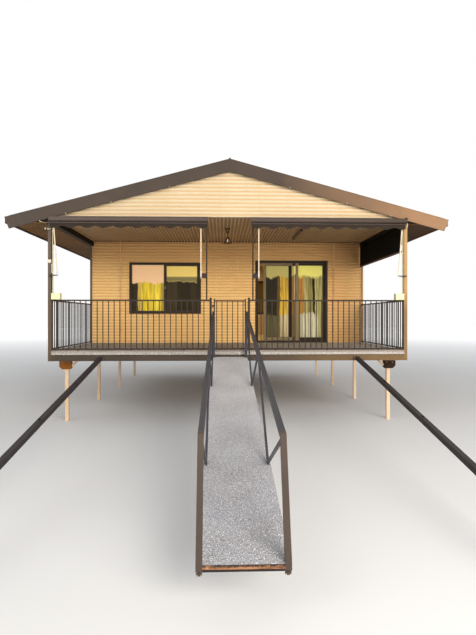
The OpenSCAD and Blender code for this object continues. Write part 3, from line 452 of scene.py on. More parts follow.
finishes = {
    "paleSteel": paintFinish((248, 216, 184), (232, 196, 160), 0.3, boardRough, rust=0.15),
    # painted shade: darker towards the right
    "rustySteel": paintFinish((158, 94, 24), (118, 70, 18), 0.35, (0.7, 0.85), rust=0.12, bump=0.002,
                              bands=[("X", -1.8, 0.6, (46, 34, 26), 0.95, 0.5)]),
    # painted sunlight: warmer and lighter towards the right
    "darkSteel": paintFinish((68, 58, 48), (78, 66, 55), 0.3, boardRough, rust=0.1,
                             bands=[("X", 0.6, 3.4, (132, 104, 68), 0.8, 0.4)]),
    "armSteel": paintFinish((36, 29, 29), (46, 38, 40), 0.2, boardRough, rust=0.08),
    # painted sunlight: lighter and warmer towards the right end
    "darkTrim": paintFinish((71, 61, 53), (79, 67, 58), 0.12, boardRough,
                            bands=[("X", 1.0, 3.6, (149, 116, 86), 1.0, 0.25)]),
    # painted sunlight on the right post, and painted shade on the posts' lower part
    "postPaint": paintFinish((94, 82, 70), (104, 90, 76), 0.15, boardRough,
                             bands=[("X", 2.9, 3.35, (186, 148, 102), 0.9),
                                    ("Z", 2.75, 2.3, (84, 68, 50), 0.6, 0.1)]),
    "railPaint": paintFinish((58, 43, 29), (66, 50, 35), 0.2, boardRough),
    "rampPaint": paintFinish((68, 57, 50), (78, 67, 59), 0.25, smooth,
                             bands=[("Y", rampY + 0.33, rampY + 0.37, (52, 54, 62), 0.8)]),
    "picketPaint": paintFinish((52, 44, 38), (62, 52, 45), 0.15, boardRough),
    "fixedLeafPaint": paintFinish((46, 37, 29), (58, 46, 36),
                                  bands=[("X", 1.7, 1.703, (134, 114, 84)), ("X", 1.83, 1.833, (52, 42, 33))]),
    "leafPaint": paintFinish((136, 118, 86), (120, 102, 74),
                             bands=[("X", 1.655, 1.66, (60, 46, 32)), ("X", 1.735, 1.738, (136, 118, 86))]),
    # top face darker, lighter along its front edge, and lighter towards the right in painted sunlight
    "greyFloor": speckleFinish((166, 157, 147), 150, joints=1.2,
                               bands=[("Z", floor - 0.002, floor - 0.001, (124, 116, 102), 0.85),
                                      ("Y", front + 0.34, front + 0.26, (160, 151, 142), 0.9),
                                      ("X", 0.5, 3.0, (192, 180, 168), 0.65)]),
    "gangwayCoat": speckleFinish((212, 209, 210), 120,
                                 bands=[("Y", front - 1.2, front - 5.2, (148, 150, 158), 0.85, 0.4)]),
    "innerBoard": paintFinish((214, 186, 144), (204, 174, 130), 0.05, boardRough),
    "whiteBoard": paintFinish((232, 226, 214), (224, 216, 202), 0.05, boardRough),
    # painted light and shade: the gables' cream sheet coloured warmer and more orange for the warm light on the wall,
    # painted shade in the troughs and towards the wall's top under the roof, and darker towards the right end
    "creamSheet": paintFinish((255, 218, 146), (252, 208, 136), 0.08, sheetRough,
                              waves=(floor, (222, 168, 108), 0.2),
                              bands=[("Z", 3.1, 3.75, (196, 151, 97), 0.8),
                                     ("X", 2.3, 3.0, (176, 128, 84), 0.4)]),
    # painted shade in the troughs; dark beyond x = 3.49 on each side
    "creamGable": paintFinish((222, 206, 174), (216, 198, 164), 0.06, sheetRough, waves=(ceiling, (200, 168, 126)),
                              bands=[("X", 3.488, 3.49, (70, 60, 50)), ("X", -3.488, -3.49, (70, 60, 50))]),
    # painted shade in the valleys between the ribs
    "brownLining": paintFinish((203, 175, 139), (191, 163, 129), 0.1, liningRough,
                               bands=[("Z", ceiling - 0.009, ceiling - 0.006, (153, 124, 89), 0.9)]),
    # painted shade: dark lines on the ribs' slopes facing away from the light, and darker valleys
    "soffitLining": paintFinish((168, 122, 56), (152, 109, 50), 0.1, liningRough,
                                waves=(house["sheet"], (70, 50, 26), 0.95, "X"),
                                bands=[("Z", soffitZ - 0.009, soffitZ - 0.006, (84, 60, 32), 0.85)]),
    "roofCore": paintFinish((92, 80, 66), (84, 72, 60), 0.2, boardRough),
    "brownSheet": paintFinish((110, 98, 86), (124, 110, 96), 0.25, grained),
    "darkAluminium": paintFinish((46, 37, 29), (58, 46, 36)),
    "rollBlack": paintFinish((16, 14, 13), (24, 21, 19), 0.05, liningRough, gloss=0.15,
                             bands=[("Z", screenZ + 0.001, screenZ, (112, 90, 74))]),
    "greyAluminium": paintFinish((83, 71, 66), (93, 80, 73), 0.12,
                                 bands=[("X", 0.6, 3.3, (72, 60, 50), 0.85)]),
    "clearGlass": glassFinish((255, 226, 170), panes),
    "opalGlass": opalFinish(),
    "whiteMetal": paintFinish((240, 230, 214), (228, 214, 194)),
    "armPaint": paintFinish((238, 222, 192), (226, 208, 176), 0.08,
                            bands=[("Z", armZ + 0.089, armZ + 0.088, (52, 44, 38))]),
    "ivoryPlastic": paintFinish((232, 220, 200), (218, 202, 178), 0.12),
    "limePlastic": paintFinish((226, 222, 160), (216, 211, 150), 0.12),
    "rodPaint": paintFinish((196, 186, 150), (182, 170, 136), 0.15),
    "stripPaint": paintFinish((250, 246, 196), (242, 236, 186)),
    "lidPlastic": paintFinish((240, 240, 192), (232, 232, 182)),
    "trimBeige": paintFinish((176, 142, 100), (160, 128, 90), 0.1, grained),
    "conduitPaint": paintFinish((232, 186, 128), (220, 172, 116), 0.1, grained),
    "bronzeMetal": paintFinish((58, 34, 18), (74, 46, 26), 0.15, (0.4, 0.55), 0.2),
    "nosingPaint": paintFinish((158, 147, 137), (146, 135, 125), 0.2, grained),
    "blackRubber": paintFinish((20, 18, 17), (30, 27, 25), 0.05, liningRough, gloss=0.2),
    "zincBolt": paintFinish((150, 144, 136), (128, 119, 110), 0.2, smooth, 0.5, rust=0.2),
    "timber": woodFinish((172, 124, 86), (92, 62, 40), high("gangway_end_strip").z),
    "canvas": clothFinish((42, 35, 29), (58, 50, 44)),
    "canvasEdge": clothFinish((72, 62, 52), (60, 51, 43)),
    "screenMesh": clothFinish((3, 3, 3), (9, 8, 7), 260.0, 0.1),
}
wearers = {
    "paleSteel": ["stilts"],
    "rustySteel": ["bearers"],
    "darkSteel": ["floor_frame", "gangway_frame", "gangway_feet", "hinge_brackets"],
    "armSteel": ["mooring_arm_left", "mooring_arm_right"],
    "darkTrim": ["barge_boards", "eave_fascias"],
    "postPaint": ["verandah_frames"],
    "railPaint": ["awning_guides"],
    "rampPaint": ["gangway_rail_left", "gangway_rail_right"],
    "picketPaint": ["gate_posts", "gate", "front_balustrade_left", "front_balustrade_right",
                    "side_balustrade_left", "side_balustrade_right"],
    "greyFloor": ["verandah_floor"],
    "gangwayCoat": ["gangway_deck"],
    "innerBoard": ["front_wall_left", "front_wall_right", "front_wall_head", "side_walls", "rear_wall",
                   "house_floor"],
    "whiteBoard": ["house_ceiling"],
    "creamSheet": ["front_cladding", "side_claddings", "rear_cladding"],
    "creamGable": ["gables", "corner_flashings"],
    "brownLining": ["verandah_ceiling"],
    "soffitLining": ["soffits"],
    "roofCore": ["roof_panels"],
    "brownSheet": ["roof_sheets", "ridge_cap"],
    "darkAluminium": ["window_frames", "door_frame"],
    "fixedLeafPaint": ["fixed_door_leaf"],
    "leafPaint": ["sliding_door_leaf"],
    "rollBlack": ["side_awnings"],
    "greyAluminium": ["awning_cassettes"],
    "clearGlass": ["glazing", "sliding_door_glass"],
    "canvas": ["awning_valances"],
    "screenMesh": ["side_screen"],
    "armPaint": ["awning_arms"],
    "limePlastic": ["awning_controls"],
    "conduitPaint": ["wall_conduits"],
    "ivoryPlastic": ["batten_light"],
    "bronzeMetal": ["lantern"],
    "timber": ["gangway_end_strip"],
}
for name, finish in finishes.items():
    finish.name = name
for finish, names in wearers.items():
    for name in names:
        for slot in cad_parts[name].material_slots:
            slot.material = finishes[finish]
print("finishes ready")

# camera and light

cameraSettings = {"place": (-0.15, -10.829, 2.13), "yaw": -1.9, "lens": 27.21}
lens = bpy.data.cameras.new("camera")
lens.sensor_fit = "VERTICAL"
lens.sensor_width = lens.sensor_height = 36
lens.lens = cameraSettings["lens"]
lens.clip_end = 400
camera = addObject("camera", lens)
camera.location = cameraSettings["place"]
camera.rotation_euler = (math.radians(90), 0, math.radians(cameraSettings["yaw"]))
bpy.context.scene.camera = camera
bpy.context.scene.view_settings.view_transform = "Standard"


def areaLamp(name, place, aim, size, power, colour, mirrored=True):
    light = bpy.data.lights.new(name, "AREA")
    light.size, light.energy, light.color = size, power, colour
    item = addObject(name, light)
    item.location = place
    item.visible_glossy = mirrored
    item.rotation_euler = (Vector(aim) - Vector(place)).to_track_quat("-Z", "Y").to_euler()


areaLamp("keyLamp", (7, -19, 6.4), (0.5, 0, 2.6), 9, 3650, (1.0, 0.95, 0.88), mirrored=False)
areaLamp("fillLamp", (-12, -15, 9), (0, 0, 2), 9, 700, (0.96, 0.98, 1.0))
for y in (3.2, 5.8):
    areaLamp("roomLamp%d" % (y * 10), (0, y, 3.95), (0, y, 0), 1.6, 40, (1.0, 0.84, 0.5))

world = bpy.data.worlds.new("world")
bpy.context.scene.world = world
world.use_nodes = True
tree = world.node_tree
seen = seenRays(tree)
feedAll(tree, tree.nodes["Background"], {"Color": blendTones(tree, seen, (0.93, 0.96, 1.0, 1), (1, 1, 1, 1)),
                                         "Strength": remap(tree, seen, 0, 1, 0.45, 1.0)})

studio = {"half": 90, "below": 0.002, "haze": (9, 45), "glow": (0.62, 0.62, 0.62, 1)}
bm = bmesh.new()
bmesh.ops.create_grid(bm, x_segments=1, y_segments=1, size=studio["half"],
                      matrix=Matrix.Translation((0, 0, -studio["below"])))
mesh = bpy.data.meshes.new("studioFloor")
bm.to_mesh(mesh)
bm.free()
studioFloor = addObject("studioFloor", mesh)
floorPaint, tree, shader, place = startMaterial()
floorPaint.name = "studioFloorPaint"
spot = split(tree, place)
reach = calc(tree, "SQRT", plus(tree, times(tree, spot["X"], spot["X"]), times(tree, spot["Y"], spot["Y"])))
haze = times(tree, remap(tree, reach, *studio["haze"]), seenRays(tree))
shades = patches(tree, place, 0.15, 0.3, 0.7, detail=2.0)
feedAll(tree, shader, {"Base Color": blendTones(tree, shades, tone(240, 239, 237), tone(246, 245, 244)),
                       "Roughness": 0.9, "Emission Color": blendTones(tree, haze, (0, 0, 0, 1), studio["glow"]),
                       "Emission Strength": 1.0})
mesh.materials.append(floorPaint)
print("camera and light ready")


# screws through the crests of the corrugated sheets, clear of the openings
sheetScrews = {"spacing": 0.61, "rows": (1, 8, 16, 24, 32), "reach": 3.38, "door": (0.70, 2.58), "doorTop": 2.12,
               "frontWindows": (-1.6,), "sideWindows": (3.173, 5.813), "rearWindows": (-1.6, 1.6),
               "windowHalf": 0.93, "sill": 0.72, "lintel": 2.07, "margin": 0.12, "gableReach": 3.3,
               "roofRows": (0.3, 1.25, 2.2, 3.15, 4.1), "ridgeRow": 0.14, "ridgeSpacing": 0.6}


def overWindow(place, middles, z):
    s = sheetScrews
    return s["sill"] < z < s["lintel"] and any(abs(place - middle) < s["windowHalf"] for middle in middles)


def screwWalls():
    bm = bmesh.new()
    s, sheet, wave = sheetScrews, house["sheet"], house["wave"]
    for row in s["rows"]:
        z = row * wave
        for x in spread(-s["reach"], s["reach"], s["spacing"]):
            inDoor = s["door"][0] < x < s["door"][1] and z < s["doorTop"]
            if not (overWindow(x, s["frontWindows"], z) or inDoor):
                hexHead(bm, (x, wall - sheet, floor + z), (0, -1, 0))
            if not overWindow(x, s["rearWindows"], z):
                hexHead(bm, (x, rear + sheet, floor + z), (0, 1, 0))
        for y in spread(wall + s["margin"], rear - s["margin"], s["spacing"]):
            for side in (-1, 1):
                if not overWindow(y, s["sideWindows"], z) and floor + z < high("side_claddings").z - 0.03:
                    hexHead(bm, (side * (house["wallSide"] + sheet), y, floor + z), (side, 0, 0))
    for row in range(1, 11, 3):                # gables, as far as the roof lets them
        z = ceiling + row * wave
        reach = min((house["ridge"] - 0.14 - z) / math.tan(house["pitch"]), s["gableReach"])
        for x in spread(-reach, reach, s["spacing"]):
            hexHead(bm, (x, front - sheet, z), (0, -1, 0))
            hexHead(bm, (x, rear + sheet, z), (0, 1, 0))
    finishPiece(bm, "wallScrews", "creamGable")


def screwRoof():
    bm = bmesh.new()
    s = sheetScrews
    first, last = low("roof_sheets").y, high("roof_sheets").y
    slope = Vector((math.sin(house["pitch"]), 0, math.cos(house["pitch"])))
    places = [(x, first + row * house["wave"], 0.0) for row in range(2, int((last - first) / house["wave"]), 5)
              for x in s["roofRows"]]
    places += [(s["ridgeRow"], y, 0.004) for y in spread(first + 0.3, last - 0.3, s["ridgeSpacing"])]
    for x, y, rise in places:
        for side in (-1, 1):
            hexHead(bm, (side * x, y, roofTop(x) + rise), (side * slope.x, 0, slope.z))
    finishPiece(bm, "roofScrews", "brownSheet")


screwWalls()
screwRoof()
print("sheet screws made")

# barge boards: folded edges, white clips and the joint line at the ridge
barge = {"depth": 0.24, "lip": 0.014, "proud": 0.004, "clip": (0.009, 0.012), "clips": (1.159, 2.267, 3.119),
         "joint": 0.0015}


def trimBarges():
    bm, clips = bmesh.new(), bmesh.new()
    top, base = house["ridge"], house["ridge"] - barge["depth"]
    width, rise = barge["clip"]
    for face, out in ((low("barge_boards").y, -1), (high("barge_boards").y, 1)):
        for side in (-1, 1):
            start = len(bm.verts)
            for z0, z1 in ((base - 0.003, base + barge["lip"]), (top - barge["lip"], top + 0.003)):
                block(bm, (side * 0.001, face, z0),
                      (side * (house["eave"] - 0.09), face + out * barge["proud"], z1), 0.0015)
            bm.verts.ensure_lookup_table()
            for v in bm.verts[start:]:         # the edges fall with the roof's slope
                v.co.z -= abs(v.co.x) * math.tan(house["pitch"])
            for x in barge["clips"]:
                z = roofTop(x) - barge["depth"]
                block(clips, (side * x - width / 2, face - out * 0.012, z - 0.008),
                      (side * x + width / 2, face + out * 0.008, z + rise), 0.002)
        block(bm, (-barge["joint"], face, base + 0.004), (barge["joint"], face + out * 0.002, top - 0.006))
    finishPiece(bm, "bargeTrim", "darkTrim")
    finishPiece(clips, "bargeClips", "whiteMetal")


trimBarges()

# retracted awnings: cassette trims, valances of cloth and the arms' fittings
awning = {"inner": 0.428, "start": 0.438, "drop": 0.095, "scallop": 0.313, "crest": 0.225, "rise": 0.04,
          "line": 0.026, "thick": 0.0012, "edging": 0.011, "sway": 0.004}
arm = {"inner": (0.554, 0, 0.044), "outer": (high("awning_cassettes").x - 0.144, 0.078, 0.01), "bolts": 0.452,
       "sleeves": ((-0.006, 0.13, 0.0145), (0.5, 0.53, 0.0135)), "pivot": 0.0155}


def trimCassettes():
    pale, dark = bmesh.new(), bmesh.new()
    first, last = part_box("awning_cassettes")
    y0, y1 = first.y, front - 0.104
    z0, z1 = first.z + 0.026, ceiling - 0.04
    line = z1 - awning["line"]
    for side in (-1, 1):
        a, b = sorted((side * awning["inner"], side * last.x))
        block(pale, (a, y0 - 0.003, line - 0.009), (b, y0 + 0.01, line), 0.001)
        block(dark, (a + 0.004, y0 + 0.006, z0 - 0.006), (b - 0.004, y1 - 0.012, z0 + 0.001))
        for x, out in ((a, -1), (b, 1)):       # end caps
            block(pale, (x - out * 0.002, y0 - 0.002, z0 - 0.002),
                  (x + out * 0.006, y1 - 0.004, z1 + 0.002), 0.008, 2)
    finishPiece(pale, "cassetteTrim", "greyAluminium")
    finishPiece(dark, "cassetteSlots", "blackRubber")


def clothMesh(name, size, cuts, place, finish):
    bm = bmesh.new()
    bmesh.ops.create_grid(bm, x_segments=cuts[0], y_segments=cuts[1], size=0.5)
    layer = bm.loops.layers.uv.new("cloth")
    for face in bm.faces:
        for loop in face.loops:
            loop[layer].uv = ((loop.vert.co.x + 0.5) * size[0], (loop.vert.co.y + 0.5) * size[1])
    for v in bm.verts:
        v.co = place(v.co.x + 0.5, v.co.y + 0.5)
    piece = finishPiece(bm, name, finish, sharp=None)
    cloth = piece.modifiers.new("thickness", "SOLIDIFY")
    cloth.thickness, cloth.offset = awning["thick"], 0
    return piece


def hangValance(side, name):
    first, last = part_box("awning_valances")
    top, y = last.z, (first.y + last.y) / 2
    width = last.x - awning["start"]

    def dropAt(u):                             # from the top to the scalloped edge
        turn = (width * (1 - u) - awning["crest"]) / awning["scallop"] * 2 * math.pi
        return awning["drop"] - awning["rise"] * (1 + math.cos(turn)) / 2

    def point(u, drop, loose, out=0.0):
        sway = field.noise(Vector((u * 9, side * 3.0, 0.5))) * awning["sway"] * loose
        return Vector((side * (awning["start"] + u * width), y + sway - out, top - drop))

    def hang(u, v):
        return point(u, (1 - v) * dropAt(u), 1 - v)

    def band(u, v):
        return point(u, dropAt(u) - awning["edging"] * v, 1, 0.0011)

    valance = clothMesh(name, (width, awning["drop"]), (176, 6), hang, "canvas")
    edge = clothMesh(name + "Edge", (width, awning["edging"]), (176, 1), band, "canvasEdge")
    return valance


def fitArms():
    pale, dark = bmesh.new(), bmesh.new()
    first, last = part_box("awning_arms")
    y, z = first.y + 0.011, first.z + 0.044
    for side in (-1, 1):
        for x, tilt, half in (arm["inner"], arm["outer"]):
            length = last.z - z + half
            run = Vector((tilt, 0, length)).normalized()
            foot = Vector((x, y, z - half))

            def along(distance):
                return Vector((side * (foot + run * distance).x, y, (foot + run * distance).z))

            for start, end, radius in arm["sleeves"]:
                rod(pale, along(start), along(end), radius, 20)
            rod(dark, along(0.002) + Vector((0, -0.021, 0.012)), along(0.002) + Vector((0, -0.012, 0.012)), 0.009, 6)
            rod(dark, along(length - 0.05), along(length - 0.002), arm["pivot"], 20)
        for dz in (-0.03, 0.03):               # bolts of the inner bracket
            hexHead(dark, (side * arm["bolts"], y + 0.007, z + dz), (0, -1, 0), 0.006, 0.009)
    finishPiece(pale, "armSleeves", "whiteMetal")
    finishPiece(dark, "armPivots", "blackRubber")


trimCassettes()
valances = [hangValance(side, name) for side, name in ((-1, "valanceLeft"), (1, "valanceRight"))]
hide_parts("awning_valances")
fitArms()
print("awnings made")

# lowered side screen
sideScreen = {"belly": 0.004, "ripple": 0.0015, "cuts": (60, 14)}


def hangScreen():
    first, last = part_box("side_screen")
    width, drop = last.y - first.y, last.z - first.z
    x = (first.x + last.x) / 2

    def hang(u, v):
        bow = math.sin(math.pi * v) * math.sin(math.pi * u) * sideScreen["belly"]
        ripple = field.noise(Vector((u * 7, v * 2, 2.0))) * sideScreen["ripple"]
        return Vector((x + bow + ripple, first.y + u * width, first.z + v * drop))

    piece = clothMesh("sideScreenCloth", (width, drop), sideScreen["cuts"], hang, "screenMesh")
    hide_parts("side_screen")


hangScreen()

# hanging lamp; profiles are pairs of radius and height
lamp = {"x": -0.03, "y": front + 1.131, "bracket": 0.04, "link": 0.104, "body": 0.182,
        "links": 5, "linkPitch": 0.0145, "linkHalf": (0.0065, 0.0105), "wire": 0.0018,
        "straps": (-135, -45, 20, 90, 160), "screwRing": 0.07,
        "rose": [(0, 0), (0.055, 0), (0.055, -0.005), (0.048, -0.009), (0, -0.009)],
        "cap": [(0, 0.004), (0.009, 0.004), (0.014, -0.002), (0.022, -0.016), (0.034, -0.03), (0.043, -0.043),
                (0.043, -0.048), (0, -0.046)],
        "brim": [(0, -0.116), (0.05, -0.116), (0.062, -0.119), (0.1, -0.128), (0.1, -0.134), (0.05, -0.126),
                 (0.02, -0.126), (0.014, -0.136), (0, -0.138)],
        "glass": [(0, -0.046), (0.012, -0.05), (0.0145, -0.07), (0.0145, -0.104), (0.018, -0.114), (0, -0.116)]}


def hangLamp():
    metal, glass, bright = bmesh.new(), bmesh.new(), bmesh.new()
    x, y, top = lamp["x"], lamp["y"], ceiling - house["lining"]
    linkTop, bodyTop = top - lamp["link"], top - lamp["body"]
    turned(metal, lamp["rose"], (x, y, top))
    for side in (-1, 1):
        rod(metal, (x + side * lamp["bracket"], y, top - 0.006), (x + side * 0.006, y, linkTop + 0.012), 0.011)
        hexHead(metal, (x + side * 0.03, y + 0.03, top - 0.009), (0, 0, -1), 0.004, 0.006)
    bmesh.ops.create_uvsphere(metal, u_segments=20, v_segments=12, radius=0.02,
                              matrix=Matrix.Translation((x, y, linkTop + 0.012)))
    halfWide, halfHigh = lamp["linkHalf"]
    turns = [2 * math.pi * k / 12 for k in range(12)]
    points = [Vector((halfWide * math.cos(a), 0, halfHigh * math.sin(a))) for a in turns]
    for i in range(lamp["links"]):             # chain links, each turned against the last
        place = placed((x, y, linkTop - 0.008 - i * lamp["linkPitch"]), 90 * (i % 2))
        for start, end in zip(points, points[1:] + points[:1]):
            rod(metal, start, end, lamp["wire"], 8, place=place)
    turned(metal, lamp["cap"], (x, y, bodyTop))
    turned(metal, lamp["brim"], (x, y, bodyTop))
    for turn in lamp["straps"]:                # straps round the glass
        place = placed((x, y, bodyTop), turn)
        block(metal, (0.034, -0.02, -0.118), (0.039, 0.02, -0.044), 0.001, place=place)
        hexHead(metal, place @ Vector((0.039, 0, -0.06)), place.to_3x3() @ Vector((1, 0, 0)), 0.003, 0.004, 0.003)
    turned(glass, lamp["glass"], (x, y, bodyTop))
    for k in range(3):                         # bright screws on the brim
        a, reach = math.radians(120 * k + 250), lamp["screwRing"]
        hexHead(bright, (x + reach * math.cos(a), y + reach * math.sin(a), bodyTop - 0.1185), (0, 0, 1), 0.006, 0.009)
    shade = finishPiece(metal, "lampBody", "bronzeMetal")
    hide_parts("lantern")
    finishPiece(glass, "lampGlass", "opalGlass")
    finishPiece(bright, "lampScrews", "whiteMetal")


hangLamp()

# long ceiling light: steel back, rounded cover and end caps
batten = {"back": (0.03, 0.016), "cap": (0.032, 0.05, 0.018), "cover": (0.028, 0.034), "inset": 0.012}


def mountBatten():
    first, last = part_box("batten_light")
    x, top = (first.x + last.x) / 2, last.z
    back, cover = bmesh.new(), bmesh.new()
    half, depth = batten["back"]
    block(back, (x - half, first.y, top - depth), (x + half, last.y, top), 0.002)
    half, depth, length = batten["cap"]
    for y, inward in ((first.y, 1), (last.y, -1)):
        block(back, (x - half, y, top - depth), (x + half, y + inward * length, top - 0.012), 0.008, 3)
    half, depth = batten["cover"]
    turns = [math.pi * k / 12 for k in range(13)]
    verts = [cover.verts.new((x + half * math.cos(a), first.y + batten["inset"], top - 0.014 - depth * math.sin(a)))
             for a in turns]
    grown = bmesh.ops.extrude_face_region(cover, geom=[cover.faces.new(verts)])["geom"]
    bmesh.ops.translate(cover, verts=[v for v in grown if isinstance(v, bmesh.types.BMVert)],
                        vec=(0, last.y - first.y - 2 * batten["inset"], 0))
    piece = finishPiece(back, "battenBack", "railPaint")
    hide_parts("batten_light")
    finishPiece(cover, "battenCover", "postPaint")


mountBatten()
print("lamps made")

# windows: gaskets, sills, drip caps, side trims, latches and drain slots at each site
window = {"width": 1.78, "height": 1.27, "sill": 0.76, "frame": 0.045, "sash": 0.028, "meeting": 0.062,
          "glass": -0.008, "front": -0.045, "gasket": (0.004, 0.006), "lap": 0.02, "latch": 1.4}
windowSites = [((x, wall), 0) for x in sheetScrews["frontWindows"]]
windowSites += [((side * house["wallSide"], y), 90 * side) for side in (-1, 1) for y in sheetScrews["sideWindows"]]
windowSites += [((x, rear), 180) for x in sheetScrews["rearWindows"]]


# four bars round a pane; inset keeps the level ones between the upright ones
def gasketRing(bm, x0, x1, z0, z1, y, depth, width, inset, place=Matrix.Identity(4)):
    for a, b in (((x0, z0), (x0 + width, z1)), ((x1 - width, z0), (x1, z1)),
                 ((x0 + inset, z0), (x1 - inset, z0 + width)), ((x0 + inset, z1 - width), (x1 - inset, z1))):
        block(bm, (a[0], y - depth, a[1]), (b[0], y, b[1]), place=place)


def dressWindows():
    rubber, trim, metal = bmesh.new(), bmesh.new(), bmesh.new()
    w = window
    half, sash, middle = w["width"] / 2, w["sash"], w["meeting"] / 2
    sill, head, lap = w["sill"], w["sill"] + w["height"], w["lap"]
    z0, z1 = sill + w["frame"], head - w["frame"]
    depth, width = w["gasket"]
    for (x, y), turn in windowSites:
        place = placed((x, y, floor), turn)
        for x0, x1, inset in ((-half + w["frame"], -middle, 0), (middle, half - w["frame"] - sash, sash)):
            gasketRing(rubber, x0, x1, z0 + inset, z1 - inset, w["glass"], depth, width, width, place)
        block(trim, (-half - lap, -0.062, sill - 0.02), (half + lap, -0.018, sill - 0.001), 0.003, place=place)
        block(trim, (-half - lap, -0.058, head + 0.001), (half + lap, -0.016, head + 0.01), 0.002, place=place)
        for a in (-half - lap, half + 0.001):
            block(trim, (a, -0.028, sill), (a + 0.019, -0.016, head), 0.002, place=place)
        block(metal, (-0.012, -0.034, w["latch"] - 0.04), (0.012, -0.024, w["latch"] + 0.04), 0.003, 2, place=place)
        block(metal, (-0.006, -0.046, w["latch"] - 0.015), (0.03, -0.034, w["latch"]), 0.003, 2, place=place)
        for dz in (-0.03, 0.03):
            rod(metal, (0, -0.036, w["latch"] + dz), (0, -0.033, w["latch"] + dz), 0.003, 12, place=place)
        for a in (-half * 0.6, half * 0.6):    # drain slots
            block(rubber, (a - 0.015, w["front"] - 0.001, sill + 0.012),
                  (a + 0.015, w["front"] + 0.004, sill + 0.017), place=place)
    finishPiece(rubber, "windowGaskets", "blackRubber")
    finishPiece(trim, "windowTrims", "darkAluminium")
    finishPiece(metal, "windowLatches", "zincBolt")


dressWindows()

# sliding door: handle, gasket, sill nosing and trims
door = {"left": 0.727, "right": 2.551, "stile": 0.062, "handle": 1.2, "gasket": (0.005, 0.007), "lap": 0.02}


def dressDoor():
    moving, rubber, fixed = bmesh.new(), bmesh.new(), bmesh.new()
    leafLow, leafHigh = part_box("sliding_door_leaf")
    x, y, z = leafHigh.x - door["stile"] / 2, leafLow.y, floor + door["handle"]
    block(moving, (x - 0.02, y - 0.003, z - 0.11), (x + 0.02, y, z + 0.11), 0.0012)
    block(moving, (x - 0.009, y - 0.034, z - 0.06), (x + 0.009, y - 0.022, z + 0.06), 0.005, 3)
    for dz in (-0.05, 0.05):
        block(moving, (x - 0.007, y - 0.028, z + dz - 0.007), (x + 0.007, y - 0.001, z + dz + 0.007), 0.002)
    rod(moving, (x, y - 0.006, z - 0.09), (x, y - 0.002, z - 0.09), 0.009, 20)
    glassLow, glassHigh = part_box("sliding_door_glass")
    gasketRing(rubber, glassLow.x, glassHigh.x, glassLow.z, glassHigh.z, glassLow.y, *door["gasket"], 0)
    left, right = door["left"] - door["lap"], door["right"] + door["lap"]
    block(fixed, (left, wall - 0.075, floor), (right, wall - 0.045, floor + 0.018), 0.004, 2)
    for a in (door["left"] - 0.021, door["right"] + 0.002):
        block(fixed, (a, wall - 0.03, floor), (a + 0.019, wall - 0.017, floor + 2.085), 0.002)
    block(fixed, (left, wall - 0.06, floor + 2.086), (right, wall - 0.017, floor + 2.097), 0.002)
    finishPiece(moving, "doorHandle", "leafPaint", "sliding_door")
    finishPiece(rubber, "doorGasket", "blackRubber", "sliding_door")
    finishPiece(fixed, "doorTrims", "darkAluminium")


dressDoor()
print("openings dressed")

# stilts: cap plates, and bolts through the bearers
stilt = {"inset": 0.15, "rows": 3, "margin": 0.035, "bearer": 0.0275, "cap": (0.05, 0.006),
         "bolt": (0.008, 0.012, 0.009)}


def dressStilts():
    bolts, plates = bmesh.new(), bmesh.new()
    first, last = low("stilts").y + stilt["margin"], high("stilts").y - stilt["margin"]
    half, thick = stilt["cap"]
    z = low("bearers").z
    for y in spread(first, last, (last - first) / stilt["rows"]):
        for side in (-1, 0, 1):
            x = side * (halfWidth - stilt["inset"])
            block(plates, (x - half, y - half, z - thick), (x + half, y + half, z), 0.002)
            for dx in (-0.06, 0.06):
                for out in (-1, 1):
                    hexHead(bolts, (x + side * stilt["bearer"] + dx, y + out * 0.045, z + 0.13), (0, out, 0),
                            *stilt["bolt"])
    finishPiece(bolts, "bearerBolts", "zincBolt")
    finishPiece(plates, "stiltCaps", "paleSteel")


# measures of the balustrades, which carry the awnings' control boxes too
rail = {"height": 0.985, "gap": 0.014, "gatePost": 0.044, "way": 0.35, "shoe": (0.019, 0.012), "foot": 0.014,
        "plate": (0.04, 0.006), "bolt": 0.031}
postInner = halfWidth - post

# corner posts: straps, pale strips, feed fittings, and the rods and lids of the awnings' control boxes
fitting = {"heights": (2.6, 2.99, 3.165, 3.955), "feeds": ((0.012, 3.828), (0.052, 3.825), (0.104, 3.832)),
           "box": (0.013, 0.183), "rod": 0.043, "rings": (0.16, 0.5, 0.9, 1.3)}


